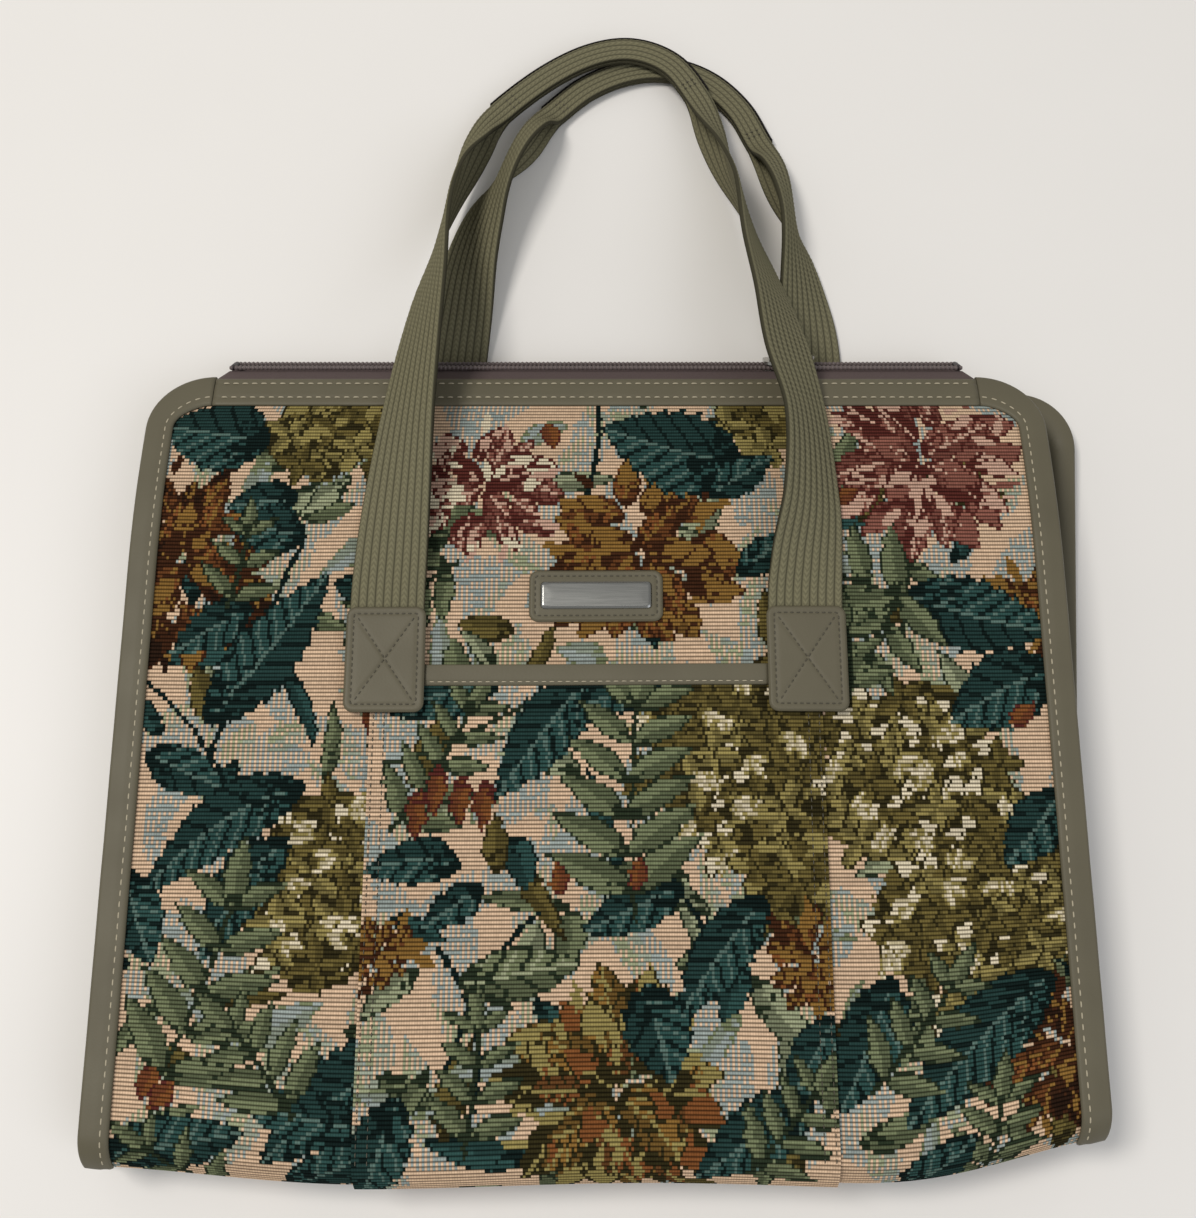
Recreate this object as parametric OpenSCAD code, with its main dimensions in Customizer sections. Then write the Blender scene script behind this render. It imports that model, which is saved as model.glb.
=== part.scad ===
// Tapestry tote bag, empty and lying on its back.
// X runs across the bag, +Y from its base to its handles, +Z up from the table to the front panel.
// The origin is on the table, under the middle of the front panel.

/* [Body] */
// Width of the front and rear panels
panel_w = 406; // [360:1:440]
// Height of the panels, from the base to the mouth
panel_h = 350; // [320:1:380]
// Thickness of the tapestry with its backing
cloth_t = 1.6; // [1.2:0.1:2]
// Height of the front panel's face above the table
front_rise = 42; // [38:1:48]
// How far the front panel falls towards the mouth
mouth_drop = 15; // [12:0.5:17]
// Length of the front panel that slopes to the mouth
slope_l = 95; // [85:1:105]
// Radius of the panels' top corners
corner_r = 27; // [20:1:34]
// Depth of the rounded base edge
nose_d = 14; // [12:0.5:18]
// How far the rear panel has slipped to the right
rear_slip = 12; // [4:1:16]
// How far the folded gussets tuck inwards
gusset_tuck = 55; // [45:1:65]
// Thickness of the gusset cloth
gusset_t = 1.2; // [0.8:0.1:1.5]

/* [Leatherette trim] */
// Thickness of the leatherette
hide_t = 1.4; // [1:0.1:1.6]
// Width of the edge bindings
binding_w = 11; // [8:0.5:13]
// Height of the bands along the mouth
band_h = 15; // [11:0.5:18]
// Width of a strap patch
patch_w = 34; // [32.5:0.5:38]
// Length of a strap patch
patch_l = 46; // [38:1:52]
// Thickness of a strap patch
patch_t = 1.6; // [1:0.1:2]
// Corner radius of the patches
patch_r = 4; // [2:0.5:7]
// Distance from the mouth to the top of the strap patches
patch_drop = 115; // [108:1:125]

/* [Pocket] */
// Width of the front pocket
pocket_w = 192; // [170:1:210]
// Distance from the mouth to the top of the pocket
pocket_drop = 140; // [134:1:146]
// Height of the trim along the pocket's mouth
pocket_trim_h = 9; // [6:0.5:12]
// Thickness of the pocket's trim
pocket_trim_t = 1.2; // [0.8:0.1:1.6]

/* [Badge] */
// Width of the badge's patch
badge_w = 58; // [50:1:66]
// Height of the badge's patch
badge_h = 23; // [19:0.5:26]
// Distance from the mouth to the middle of the badge
badge_drop = 109; // [105:1:114]
// Length of the metal plate
plate_l = 48; // [40:1:52]
// Height of the metal plate
plate_h = 12; // [9:0.5:15]
// Thickness of the metal plate
plate_t = 1.2; // [0.8:0.1:1.6]

/* [Handles] */
// Distance between the middles of a handle's two ends
handle_w = 180; // [168:1:190]
// How far the handles reach past the mouth
handle_reach = 187; // [175:1:200]
// How far the rear handle lies flat past the mouth, under the zip
rear_flat_l = 27; // [26:1:30]
// Width of the webbing
strap_w = 32; // [29:0.5:33]
// Thickness of the webbing
strap_t = 2.4; // [2:0.1:2.8]
// Lengthwise ribs across the webbing
strap_ribs = 7; // [5:1:9]
// Depth of the grooves between the ribs
groove_d = 0.3; // [0.1:0.05:0.4]
// Gap between the two halves of a folded grip
fold_gap = 0.8; // [0.7:0.1:1.2]
// Width of the dark strip under a grip
grip_strip_w = 18; // [16:0.5:20]
// Thickness of the dark strip under a grip
grip_strip_t = 0.8; // [0.5:0.1:1]

/* [Zip] */
// Length of the rows of coil
zip_l = 344; // [310:2:348]
// Distance between the middles of the two rows
row_gap = 9.6; // [9.4:0.1:10]
// Width of a row of coil
coil_w = 2.4; // [2:0.1:2.6]
// Thickness of a row of coil
coil_t = 2.6; // [2.2:0.1:3]
// Pitch of the coil's teeth
coil_pitch = 2; // [1.6:0.1:3]
// How far the zip stands out past the mouth
zip_reach = 12; // [10.5:0.5:14]
// Height of the zip's middle above the table
zip_rise = 16; // [15:0.5:17]
// How far the zip leans back from upright
zip_lean = 35; // [30:1:38]
// Thickness of the zip's tape
tape_t = 0.8; // [0.5:0.1:1]
// Width of tape sewn in under each panel
tape_tuck = 10; // [6:0.5:14]
// Length of an end stop
stop_l = 4; // [3:0.5:6]
// Length of the slider
slider_l = 14; // [12:0.5:16]
// Thickness of the slider's plates
slider_t = 1.4; // [1:0.1:1.6]
// Length of the pull
pull_l = 17; // [15:0.5:18]
// Width of the pull
pull_w = 6.4; // [5.5:0.1:7]
// Thickness of the pull
pull_t = 1.5; // [1.2:0.1:1.8]
// Place of the slider along the zip, from the middle
slider_x = 86; // [70:1:100]

/* [Hidden] */

// Gap between two sewn layers
seam_gap = 0.1;
// Running clearance of the slider and pull
run_gap = 0.4;
// How far cutting shapes run past what they cut
overrun = 5;
$fn = 48;

// Heights and edges of the body
top_y = panel_h / 2;
base_y = -panel_h / 2;
nose_y = base_y + nose_d;
slope_y = top_y - slope_l;
edge_x = panel_w / 2;
// Underside of the rear panel: on its bindings near the base, on the straps above that
rear_low = hide_t + seam_gap;
strap_seat_rear = patch_t + seam_gap + strap_t / 2;
rear_high = patch_t + strap_t + 2 * seam_gap;
ramp_low_share = 0.09;
ramp_low_y = -panel_h * ramp_low_share;
nose_mid = (front_rise + rear_low) / 2;
nose_half = (front_rise - rear_low) / 2;
// The front panel's fall to the mouth, as shares of the slope's length and of the drop
fall_shares = [[0, 0], [0.25, 0.07], [0.55, 0.32], [1, 1]];
slope_ys = [for (f = fall_shares) slope_y + f[0] * slope_l];
// Angles at which the front, base and rear cloths end round the nose
panel_turn = 25;
base_turn = 42;
turn_step = 13;

// Stack on the front panel
pocket_top = front_rise + seam_gap + cloth_t;
strap_seat = pocket_top + seam_gap + strap_t / 2;
patch_seat = pocket_top + 2 * seam_gap + strap_t;
patch_top_y = top_y - patch_drop;
patch_mid_y = patch_top_y - patch_l / 2;
pocket_y = top_y - pocket_drop;
badge_y = top_y - badge_drop;

// Handle routes: each row is [across, along, height, roll, fold]
// across: share of half the span; along: share of the way from a patch's top to the arch
// height: share of the strap's seat; roll and fold in degrees
arch_y = top_y + handle_reach;
sewn_share = 0.9;
end_along = -sewn_share * patch_l / (arch_y - patch_top_y);
// The rear handle's way has two stretches, flat under the zip and on to the arch
rear_flat_share = 0.47;
rear_flat_y = top_y + rear_flat_l;
rear_end_along = -sewn_share * patch_l * rear_flat_share / (rear_flat_y - patch_top_y);
front_route_shares = [
    [-1, end_along, 1, 0, 0], [-1, 0, 1, 0, 0], [-0.99, 0.07, 1.035, 6, 0],
    [-0.97, 0.165, 1.07, 20, 0], [-0.94, 0.29, 1.06, 36, 0], [-0.9, 0.415, 0.98, 48, 0],
    [-0.86, 0.53, 0.82, 60, 0], [-0.81, 0.645, 0.62, 78, 0], [-0.74, 0.745, 0.44, 88, 30],
    [-0.64, 0.82, 0.33, 90, 110], [-0.51, 0.88, 0.245, 90, 180], [-0.26, 0.945, 0.245, 90, 180],
    [-0.02, 0.985, 0.25, 90, 180], [0.2, 0.995, 0.255, 90, 180], [0.4, 0.97, 0.255, 90, 180],
    [0.535, 0.915, 0.25, 90, 180], [0.635, 0.845, 0.29, 90, 100], [0.71, 0.775, 0.38, 88, 30],
    [0.77, 0.7, 0.53, 80, 0], [0.825, 0.595, 0.75, 64, 0], [0.88, 0.495, 0.96, 54, 0],
    [0.93, 0.4, 1.06, 46, 0], [0.975, 0.29, 1.08, 36, 0], [0.995, 0.165, 1.07, 20, 0],
    [1, 0.07, 1.035, 6, 0], [1, 0, 1, 0, 0], [1, end_along, 1, 0, 0]];
rear_route_shares = [
    [-1, rear_end_along, 1, 0, 0], [-1, 0, 1, 0, 0], [-0.98, 0.165, 0.65, 0, 0], [-0.95, 0.31, 0, 0, 0],
    [-0.91, 0.415, 0, 0, 0], [-0.87, 0.51, 0, 12, 0], [-0.82, 0.61, 0, 30, 0],
    [-0.74, 0.695, 0, 46, 0], [-0.62, 0.77, 0, 70, 30], [-0.49, 0.835, 0, 88, 100],
    [-0.36, 0.89, 0, 90, 180], [-0.17, 0.94, 0, 90, 180], [0.05, 0.97, 0, 90, 180],
    [0.27, 0.975, 0, 90, 180], [0.48, 0.95, 0, 90, 180], [0.645, 0.9, 0, 90, 180],
    [0.755, 0.835, 0, 90, 180], [0.845, 0.765, 0, 88, 100], [0.91, 0.69, 0, 76, 30],
    [0.955, 0.615, 0, 56, 0], [0.985, 0.54, 0, 36, 0], [1, 0.47, 0, 14, 0],
    [1, 0.4, 0, 0, 0], [1, 0.31, 0, 0, 0], [1, 0.165, 0.65, 0, 0], [1, 0, 1, 0, 0],
    [1, rear_end_along, 1, 0, 0]];
// The rows of the routes between which a grip is folded shut
front_grip_rows = [10, 15];
rear_grip_rows = [10, 16];
route_steps = 2;
// Sag radius of the fold's crease, and the half length of webbing that it takes
crease_r = (strap_t + fold_gap) / 2;
crease_half = PI * crease_r / 2;
// How far the straps stay above the table
table_gap = 0.25;

// Zip
zip_y = top_y + zip_reach;
row_half = row_gap / 2;
lip_t = 0.8;
slider_w = row_gap + coil_w + 2 * (run_gap + lip_t);
plate_in = coil_t / 2 + run_gap;
plate_out = plate_in + slider_t;
post_half = row_half - coil_w / 2 - run_gap;
post_l = slider_l / 2;
pin_r = pull_t / 2;
pin_y = plate_out + run_gap + pin_r;
bail_t = 1;
bail_w = 2.4;
bail_l_share = 0.6;
bail_l = slider_l * bail_l_share;
bail_top = pin_y + pin_r + run_gap + bail_t;
window_l = bail_l * 0.5 + bail_top - pin_y;
window_w = bail_w + 2 * run_gap;

// Colours
cloth_col = "#c4a88a";
backing_col = "#6f6657";
hide_col = "#6f6b5e";
webbing_col = "#74745f";
strip_col = "#26231f";
tape_col = "#55474a";
coil_col = "#8d837f";
metal_col = "#c9c9c6";

// Height of the front panel's face at y
function front_z(y) = front_rise - mouth_drop * lookup((y - slope_y) / slope_l, fall_shares);

// Height of the rear panel's underside at y
function rear_z(y) = lookup(y, [[ramp_low_y, rear_low], [0, rear_high]]);

// A point round the base's nose, off to the outside by o, at an angle from straight out
function nose_point(o, turn) =
    [nose_y - (nose_d + o) * cos(turn), nose_mid + (nose_half + o) * sin(turn)];

// Section of the front cloth, off to the outside by o, from the height y down round the nose
function front_line(o, y) = concat(
    [[y, front_z(y) + o]],
    [for (i = [len(slope_ys) - 1 : -1 : 0]) if (slope_ys[i] < y) [slope_ys[i], front_z(slope_ys[i]) + o]],
    [for (turn = [90 : -turn_step : panel_turn]) nose_point(o, turn)]);

// Section of the rear cloth, off to the outside by o, from the mouth down round the nose
function rear_line(o) = concat(
    [for (y = [top_y, 0, ramp_low_y]) [y, rear_z(y) - o]],
    [for (turn = [-90 : turn_step : -panel_turn]) nose_point(o, turn)]);

function base_line(o) = [for (turn = [base_turn : -base_turn / 3 : -base_turn]) nose_point(o, turn)];

function reversed(list) = [for (i = [len(list) - 1 : -1 : 0]) list[i]];

// Carries a section drawn in Y and Z across the bag, centred on x
module across(width, x = 0) {
    translate([x - width / 2, 0, 0])
        rotate([90, 0, 90])
            linear_extrude(width)
                children();
}

// A sheet between two lines of points with the same ends
module sheet(width, outer, inner, x = 0) {
    across(width, x) polygon(concat(outer, reversed(inner)));
}

module rounded_rect(w, h, r) {
    square([w - 2 * r, h], center = true);
    square([w, h - 2 * r], center = true);
    for (sx = [-1, 1], sy = [-1, 1])
        translate([sx * (w / 2 - r), sy * (h / 2 - r)]) circle(r);
}

// The panels' outline from above, rounded at the top corners only
module panel_outline() {
    low = base_y - overrun;
    translate([-edge_x, low]) square([panel_w, top_y - corner_r - low]);
    translate([corner_r - edge_x, low]) square([panel_w - 2 * corner_r, top_y - low]);
    for (sx = [-1, 1])
        translate([sx * (edge_x - corner_r), top_y - corner_r]) circle(corner_r);
}

module trim_to_outline(x = 0) {
    intersection() {
        children();
        translate([x, 0, -overrun]) linear_extrude(front_rise + 2 * overrun) panel_outline();
    }
}

// Closed skin over rings of points, whose first half runs out and second half runs back beside it
module skin(rings) {
    n = len(rings[0]);
    last = n * (len(rings) - 1);
    sides = [for (i = [0 : len(rings) - 2], j = [0 : n - 1])
        let (k = (j + 1) % n, a = i * n, b = a + n) each [[a + j, a + k, b + k], [a + j, b + k, b + j]]];
    rungs = [for (j = [0 : n / 2 - 2]) each [[j, j + 1, n - 2 - j], [j, n - 2 - j, n - 1 - j]]];
    first_cap = [for (t = rungs) [t[2], t[1], t[0]]];
    last_cap = [for (t = rungs) [for (v = t) last + v]];
    polyhedron([for (ring = rings) each ring], concat(sides, first_cap, last_cap));
}

module front_panel() {
    color(cloth_col)
        trim_to_outline()
            sheet(panel_w, front_line(0, top_y), front_line(-cloth_t, top_y));
}

module rear_panel() {
    color(cloth_col)
        trim_to_outline(rear_slip)
            sheet(panel_w, rear_line(0), rear_line(-cloth_t), rear_slip);
}

// The base lies inside the turned edges of both panels
module base_panel() {
    inset = cloth_t + seam_gap;
    color(cloth_col)
        sheet(panel_w, base_line(-inset), base_line(-inset - cloth_t), rear_slip / 2);
}

// Heights of a gusset's two sewn edges at y, inside the panels and, at the nose, inside the base
function gusset_edges(y) =
    let (inset = 2 * cloth_t + 3 * seam_gap, d = (nose_y - y) / (nose_d - inset))
    d > 0
        ? [for (s = [1, -1]) nose_mid + s * (nose_half - inset) * sqrt(1 - d * d)]
        : [front_z(y) - cloth_t - seam_gap, rear_z(y) + cloth_t + seam_gap];

// Section of a gusset at y: a flange under each binding, and a fold that tucks inwards between
function gusset_ring(s, y) =
    let (z = gusset_edges(y), mid = (z[0] + z[1]) / 2,
        flange = binding_w + hide_t,
        front_x = s * edge_x, rear_x = s * edge_x + rear_slip,
        fold_x = s * (edge_x - gusset_tuck) + (s > 0 ? 0 : rear_slip),
        lean = gusset_t * (gusset_tuck - flange) / (mid - z[1]),
        inner = [[front_x, z[0]], [front_x - s * flange, z[0]], [fold_x, mid],
            [rear_x - s * flange, z[1]], [rear_x, z[1]]],
        outer = [[front_x, z[0] - gusset_t], [front_x - s * flange, z[0] - gusset_t],
            [fold_x + s * lean, mid],
            [rear_x - s * flange, z[1] + gusset_t], [rear_x, z[1] + gusset_t]],
        ring = concat(inner, reversed(outer)))
    [for (p = (s > 0 ? ring : reversed(ring))) [p[0], y, p[1]]];

module gusset(s) {
    inset = 2 * cloth_t + 3 * seam_gap;
    ys = concat([for (share = [0.9, 0.6]) nose_y - share * (nose_d - inset)],
        [nose_y, ramp_low_y, 0, slope_ys[0], slope_ys[1], slope_ys[2], top_y - corner_r]);
    color(backing_col) skin([for (y = ys) gusset_ring(s, y)]);
}

module left_gusset() { gusset(-1); }

module right_gusset() { gusset(1); }

module front_pocket() {
    color(cloth_col)
        sheet(pocket_w, front_line(seam_gap + cloth_t, pocket_y), front_line(seam_gap, pocket_y));
}

module pocket_trim() {
    gap_between_straps = handle_w - strap_w - 2 * run_gap;
    color(hide_col)
        translate([-gap_between_straps / 2, pocket_y - pocket_trim_h, pocket_top + seam_gap])
            cube([gap_between_straps, pocket_trim_h, pocket_trim_t]);
}

// A band along the mouth, between the two bindings
module front_band() {
    ys = [top_y - band_h, top_y];
    color(hide_col)
        sheet(panel_w - 2 * corner_r - 2 * run_gap,
            [for (y = ys) [y, front_z(y) + seam_gap + hide_t]], [for (y = ys) [y, front_z(y) + seam_gap]]);
}

module rear_band() {
    ys = [top_y - band_h, top_y];
    color(hide_col)
        sheet(panel_w - 2 * corner_r - 2 * run_gap,
            [for (y = ys) [y, rear_z(y) - seam_gap]], [for (y = ys) [y, rear_z(y) - seam_gap - hide_t]],
            rear_slip);
}

// Section of a binding: a strip rolled over the panel's edge and the gusset's flange
// Each point is [out past the edge, up from the panel's face]
function binding_section() =
    let (high = seam_gap + hide_t,
        slot_low = -(cloth_t + gusset_t + 3 * seam_gap),
        low = slot_low - hide_t, mid = (high + low) / 2, half = (high - low) / 2,
        slot_mid = (seam_gap + slot_low) / 2, slot_half = (seam_gap - slot_low) / 2)
    concat([[-binding_w, high]],
        [for (turn = [90 : -30 : -90]) [high * cos(turn), mid + half * sin(turn)]],
        [[-binding_w, low], [-binding_w, slot_low]],
        [for (turn = [-90 : 30 : 90])
            [abs(turn) < 90 ? seam_gap : 0, slot_mid + slot_half * max(-1, min(1, turn / 60))]],
        [[-binding_w, seam_gap]]);

// Stations of a binding's path: [x, y, outward x, outward y] on the right-hand side
function binding_path(ys) = concat(
    [for (y = ys) [edge_x, y, 1, 0]],
    [for (turn = [0 : 15 : 90])
        [edge_x - corner_r * (1 - cos(turn)), top_y - corner_r * (1 - sin(turn)), cos(turn), sin(turn)]]);

module binding(s, rear) {
    ys = rear ? [nose_y, ramp_low_y, 0] : [nose_y, slope_ys[0], slope_ys[1], slope_ys[2]];
    section = s * (rear ? -1 : 1) > 0 ? reversed(binding_section()) : binding_section();
    rings = [for (p = binding_path(ys))
        [for (q = section)
            let (y = p[1] + q[0] * p[3])
            [s * (p[0] + q[0] * p[2]) + (rear ? rear_slip : 0), y, rear ? rear_z(y) - q[1] : front_z(y) + q[1]]]];
    color(hide_col) skin(rings);
}

module front_left_binding() { binding(-1, false); }

module front_right_binding() { binding(1, false); }

module rear_left_binding() { binding(-1, true); }

module rear_right_binding() { binding(1, true); }

// A point of the webbing's section: s across the webbing, lift off its middle, fold in degrees
function fold_point(s, lift, fold) =
    let (share = max(-1, min(1, s / crease_half)), turn = share * fold / 2,
        r = fold > 1 ? 360 * crease_half / (PI * fold) : 0,
        rest = s - share * crease_half,
        x = fold > 1 ? r * sin(turn) + rest * cos(fold / 2) : s,
        down = fold > 1 ? r * (1 - cos(turn)) + abs(rest) * sin(fold / 2) : 0)
    [x + lift * sin(turn), fold_depth(fold) / 2 - down + lift * cos(turn)];

// Depth of the folded webbing's middle line
function fold_depth(fold) =
    let (r = fold > 1 ? 360 * crease_half / (PI * fold) : 0)
    fold > 1 ? r * (1 - cos(fold / 2)) + (strap_w / 2 - crease_half) * sin(fold / 2) : 0;

// Section of the webbing, ribbed on both faces
function webbing_section(fold) =
    let (n = 2 * strap_ribs, half = strap_t / 2)
    concat(
        [for (i = [0 : n]) fold_point(strap_w * (i / n - 1 / 2), half - (i % 2 == 0 ? groove_d : 0), fold)],
        [for (i = [n : -1 : 0]) fold_point(strap_w * (i / n - 1 / 2), -half + (i % 2 == 0 ? groove_d : 0), fold)]);

// Half the height that the webbing needs at a roll and fold
function webbing_half(roll, fold) =
    let (c = cos(roll), s = sin(roll))
    max([for (p = webbing_section(fold)) abs(p[0] * s + p[1] * c)]);

// The rear handle's place along the bag at a share of its way
function rear_way_y(share) = share < rear_flat_share
    ? lerp(patch_top_y, rear_flat_y, share / rear_flat_share)
    : lerp(rear_flat_y, arch_y, (share - rear_flat_share) / (1 - rear_flat_share));

// Places along a handle: [x, y, z, roll, fold], kept above the table and the dark strip
function handle_stations(shares, seat, slip, clear, rear) = [for (r = shares)
    [slip + r[0] * handle_w / 2,
        rear ? rear_way_y(r[1]) : lerp(patch_top_y, arch_y, r[1]),
        max(r[2] * seat, webbing_half(r[3], r[4]) + table_gap + clear * r[4] / 180),
        r[3], r[4]]];

function lerp(a, b, share) = a + (b - a) * share;

// A smooth curve through the stations
function curve_at(p, i, t) =
    let (a = p[max(i - 1, 0)], b = p[i], c = p[min(i + 1, len(p) - 1)], d = p[min(i + 2, len(p) - 1)])
    (2 * b + (c - a) * t + (2 * a - 5 * b + 4 * c - d) * t * t + (3 * b - a - 3 * c + d) * t * t * t) / 2;

function smooth(p) = concat(
    [for (i = [0 : len(p) - 2], k = [0 : route_steps - 1]) curve_at(p, i, k / route_steps)],
    [p[len(p) - 1]]);

function unit(v) = v / norm(v);

function place(q) = [q[0], q[1], q[2]];

// Sets a section across a path, rolled about it
function ring_on_path(path, i, section) =
    let (ahead = unit(place(path[min(i + 1, len(path) - 1)]) - place(path[max(i - 1, 0)])),
        side = unit(cross(ahead, [0, 0, 1])), up = cross(side, ahead),
        roll = path[i][3],
        wide = side * cos(roll) + up * sin(roll), out = up * cos(roll) - side * sin(roll))
    [for (p = section) place(path[i]) + wide * p[0] + out * p[1]];

module handle(stations) {
    path = smooth(stations);
    color(webbing_col)
        skin([for (i = [0 : len(path) - 1])
            ring_on_path(path, i, reversed(webbing_section(max(0, min(180, path[i][4])))))]);
}

// The strip lies flat under a folded grip and stands out a little past its outer edge
module grip_strip(stations, rows) {
    high = -(crease_r + strap_t / 2 + seam_gap);
    low = high - grip_strip_t;
    half = grip_strip_w / 2;
    path = smooth(stations);
    section = [[low, half], [low, -half], [high, -half], [high, half]];
    color(strip_col)
        skin([for (i = [rows[0] * route_steps : rows[1] * route_steps]) ring_on_path(path, i, section)]);
}

strip_clear = grip_strip_t + 2 * seam_gap;
front_stations = handle_stations(front_route_shares, strap_seat, 0, strip_clear, false);
rear_stations = handle_stations(rear_route_shares, strap_seat_rear, rear_slip, strip_clear, true);

module front_handle() { handle(front_stations); }

module rear_handle() { handle(rear_stations); }

module front_grip_strip() { grip_strip(front_stations, front_grip_rows); }

module rear_grip_strip() { grip_strip(rear_stations, rear_grip_rows); }

module strap_patch(x, z) {
    color(hide_col)
        translate([x, patch_mid_y, z])
            linear_extrude(patch_t) rounded_rect(patch_w, patch_l, patch_r);
}

module front_left_patch() { strap_patch(-handle_w / 2, patch_seat); }

module front_right_patch() { strap_patch(handle_w / 2, patch_seat); }

module rear_left_patch() { strap_patch(rear_slip - handle_w / 2, 0); }

module rear_right_patch() { strap_patch(rear_slip + handle_w / 2, 0); }

module badge_patch() {
    color(hide_col)
        translate([0, badge_y, front_rise + seam_gap])
            linear_extrude(hide_t) rounded_rect(badge_w, badge_h, patch_r);
}

module badge_plate() {
    plate_r = plate_h / 4;
    color(metal_col)
        translate([0, badge_y, front_rise + hide_t + 2 * seam_gap])
            linear_extrude(plate_t) rounded_rect(plate_l, plate_h, plate_r);
}

// The zip's own frame: X along it, +Y out of the bag, +Z from the rear row to the front row
module in_zip() {
    translate([0, zip_y, zip_rise]) rotate([zip_lean, 0, 0]) children();
}

// A point of the zip's frame as [y, z] of the bag
function zip_point(y, z) =
    [zip_y + y * cos(zip_lean) - z * sin(zip_lean), zip_rise + y * sin(zip_lean) + z * cos(zip_lean)];

// A tape from under its panel's edge to its row of coil, s = 1 at the front
module zip_tape(s) {
    join = -coil_t / 2 - seam_gap;
    outer = s * (row_half + tape_t / 2);
    ys = [top_y - tape_tuck, top_y];
    face = s > 0
        ? [for (y = ys) [y, front_z(y) - cloth_t - seam_gap]]
        : [for (y = ys) [y, rear_z(y) + cloth_t + seam_gap]];
    back = [for (p = face) [p[0], p[1] - s * tape_t]];
    color(tape_col)
        sheet(zip_l + 2 * seam_gap, concat(face, [zip_point(join, outer)]),
            concat(back, [zip_point(join, outer - s * tape_t)]));
}

module front_zip_tape() { zip_tape(1); }

// The rear tape's sewn edge stops short of the round end of the left binding
module rear_zip_tape() {
    binding_end = rear_slip - edge_x + corner_r + run_gap;
    clear_y = top_y + hide_t + seam_gap + run_gap;
    notch_l = zip_l / 2 + overrun + binding_end;
    color(tape_col)
        difference() {
            zip_tape(-1);
            translate([binding_end - notch_l, clear_y - tape_tuck - overrun, 0])
                cube([notch_l, tape_tuck + overrun, zip_rise]);
        }
}

// A row of coil as a comb with its teeth towards the other row
module zip_coil(s) {
    count = floor(zip_l / coil_pitch);
    root = coil_w / 6;
    start = -count * coil_pitch / 2;
    teeth = [for (i = [0 : count - 1], p = [[0, 0], [0.3, 1], [0.7, 1], [1, 0]])
        [start + (i + p[0]) * coil_pitch, p[1] > 0 ? -coil_w / 2 : root]];
    color(coil_col)
        in_zip() rotate([90, 0, 0]) linear_extrude(coil_t, center = true)
            scale([1, s]) translate([0, row_half])
                polygon(concat(teeth, [[-start, coil_w / 2], [start, coil_w / 2]]));
}

module front_zip_coil() { zip_coil(1); }

module rear_zip_coil() { zip_coil(-1); }

// A stop across both rows at each end of the zip
module zip_stops() {
    color(metal_col) in_zip()
        for (s = [-1, 1])
            translate([s * (zip_l / 2 + 2 * seam_gap + stop_l / 2), 0, 0])
                cube([stop_l, coil_t, row_gap + coil_w], center = true);
}

// Two plates joined by a post between the rows, lips round the rows, and a bail for the pull
module zip_slider() {
    inner_w = 2 * (row_half - tape_t - run_gap);
    color(metal_col) in_zip() translate([slider_x, 0, 0]) {
        translate([0, plate_out, 0]) rotate([90, 0, 0])
            linear_extrude(slider_t) rounded_rect(slider_l, slider_w, slider_w / 4);
        translate([0, -plate_in, 0]) rotate([90, 0, 0])
            linear_extrude(slider_t) rounded_rect(slider_l, inner_w, inner_w / 4);
        for (s = [-1, 1])
            translate([0, plate_in / 2, s * (slider_w - lip_t) / 2])
                cube([slider_l - slider_w / 2, plate_in, lip_t], center = true);
        cube([post_l, 2 * plate_in, 2 * post_half], center = true);
        difference() {
            translate([-bail_l / 2, plate_out, -bail_w / 2]) cube([bail_l, bail_top - plate_out, bail_w]);
            translate([bail_t - bail_l / 2, plate_out, -bail_w])
                cube([bail_l - 2 * bail_t, bail_top - bail_t - plate_out, 2 * bail_w]);
        }
    }
}

// A tab on a pin under the bail, with a window that the bail passes through
module zip_pull() {
    reach = pull_l - pull_w / 2;
    color(metal_col) in_zip() translate([slider_x, pin_y, 0]) {
        cylinder(h = pull_w, r = pin_r, center = true);
        difference() {
            rotate([90, 0, 0]) linear_extrude(pull_t, center = true) {
                translate([0, -pull_w / 2]) square([reach, pull_w]);
                translate([reach, 0]) circle(pull_w / 2);
            }
            translate([pin_r, -pull_t, -window_w / 2]) cube([window_l - pin_r, 2 * pull_t, window_w]);
            rotate([90, 0, 0]) translate([reach, 0, -pull_t]) cylinder(h = 2 * pull_t, r = pull_w / 6);
        }
    }
}

front_panel();
rear_panel();
base_panel();
left_gusset();
right_gusset();
front_pocket();
pocket_trim();
front_band();
rear_band();
front_left_binding();
front_right_binding();
rear_left_binding();
rear_right_binding();
front_handle();
rear_handle();
front_grip_strip();
rear_grip_strip();
front_left_patch();
front_right_patch();
rear_left_patch();
rear_right_patch();
badge_patch();
badge_plate();
front_zip_tape();
rear_zip_tape();
front_zip_coil();
rear_zip_coil();
zip_stops();
zip_slider();
zip_pull();
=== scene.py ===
"""Looks of an empty tapestry tote bag that lies on its back on a pale table.

Everything is computed in millimetres in the CAD frame: X across the bag, +Y from its base to its handles and
+Z up from the table. Meshes are stored in metres.
"""

import logging
import math
from dataclasses import dataclass
from enum import Enum
from typing import Sequence

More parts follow.
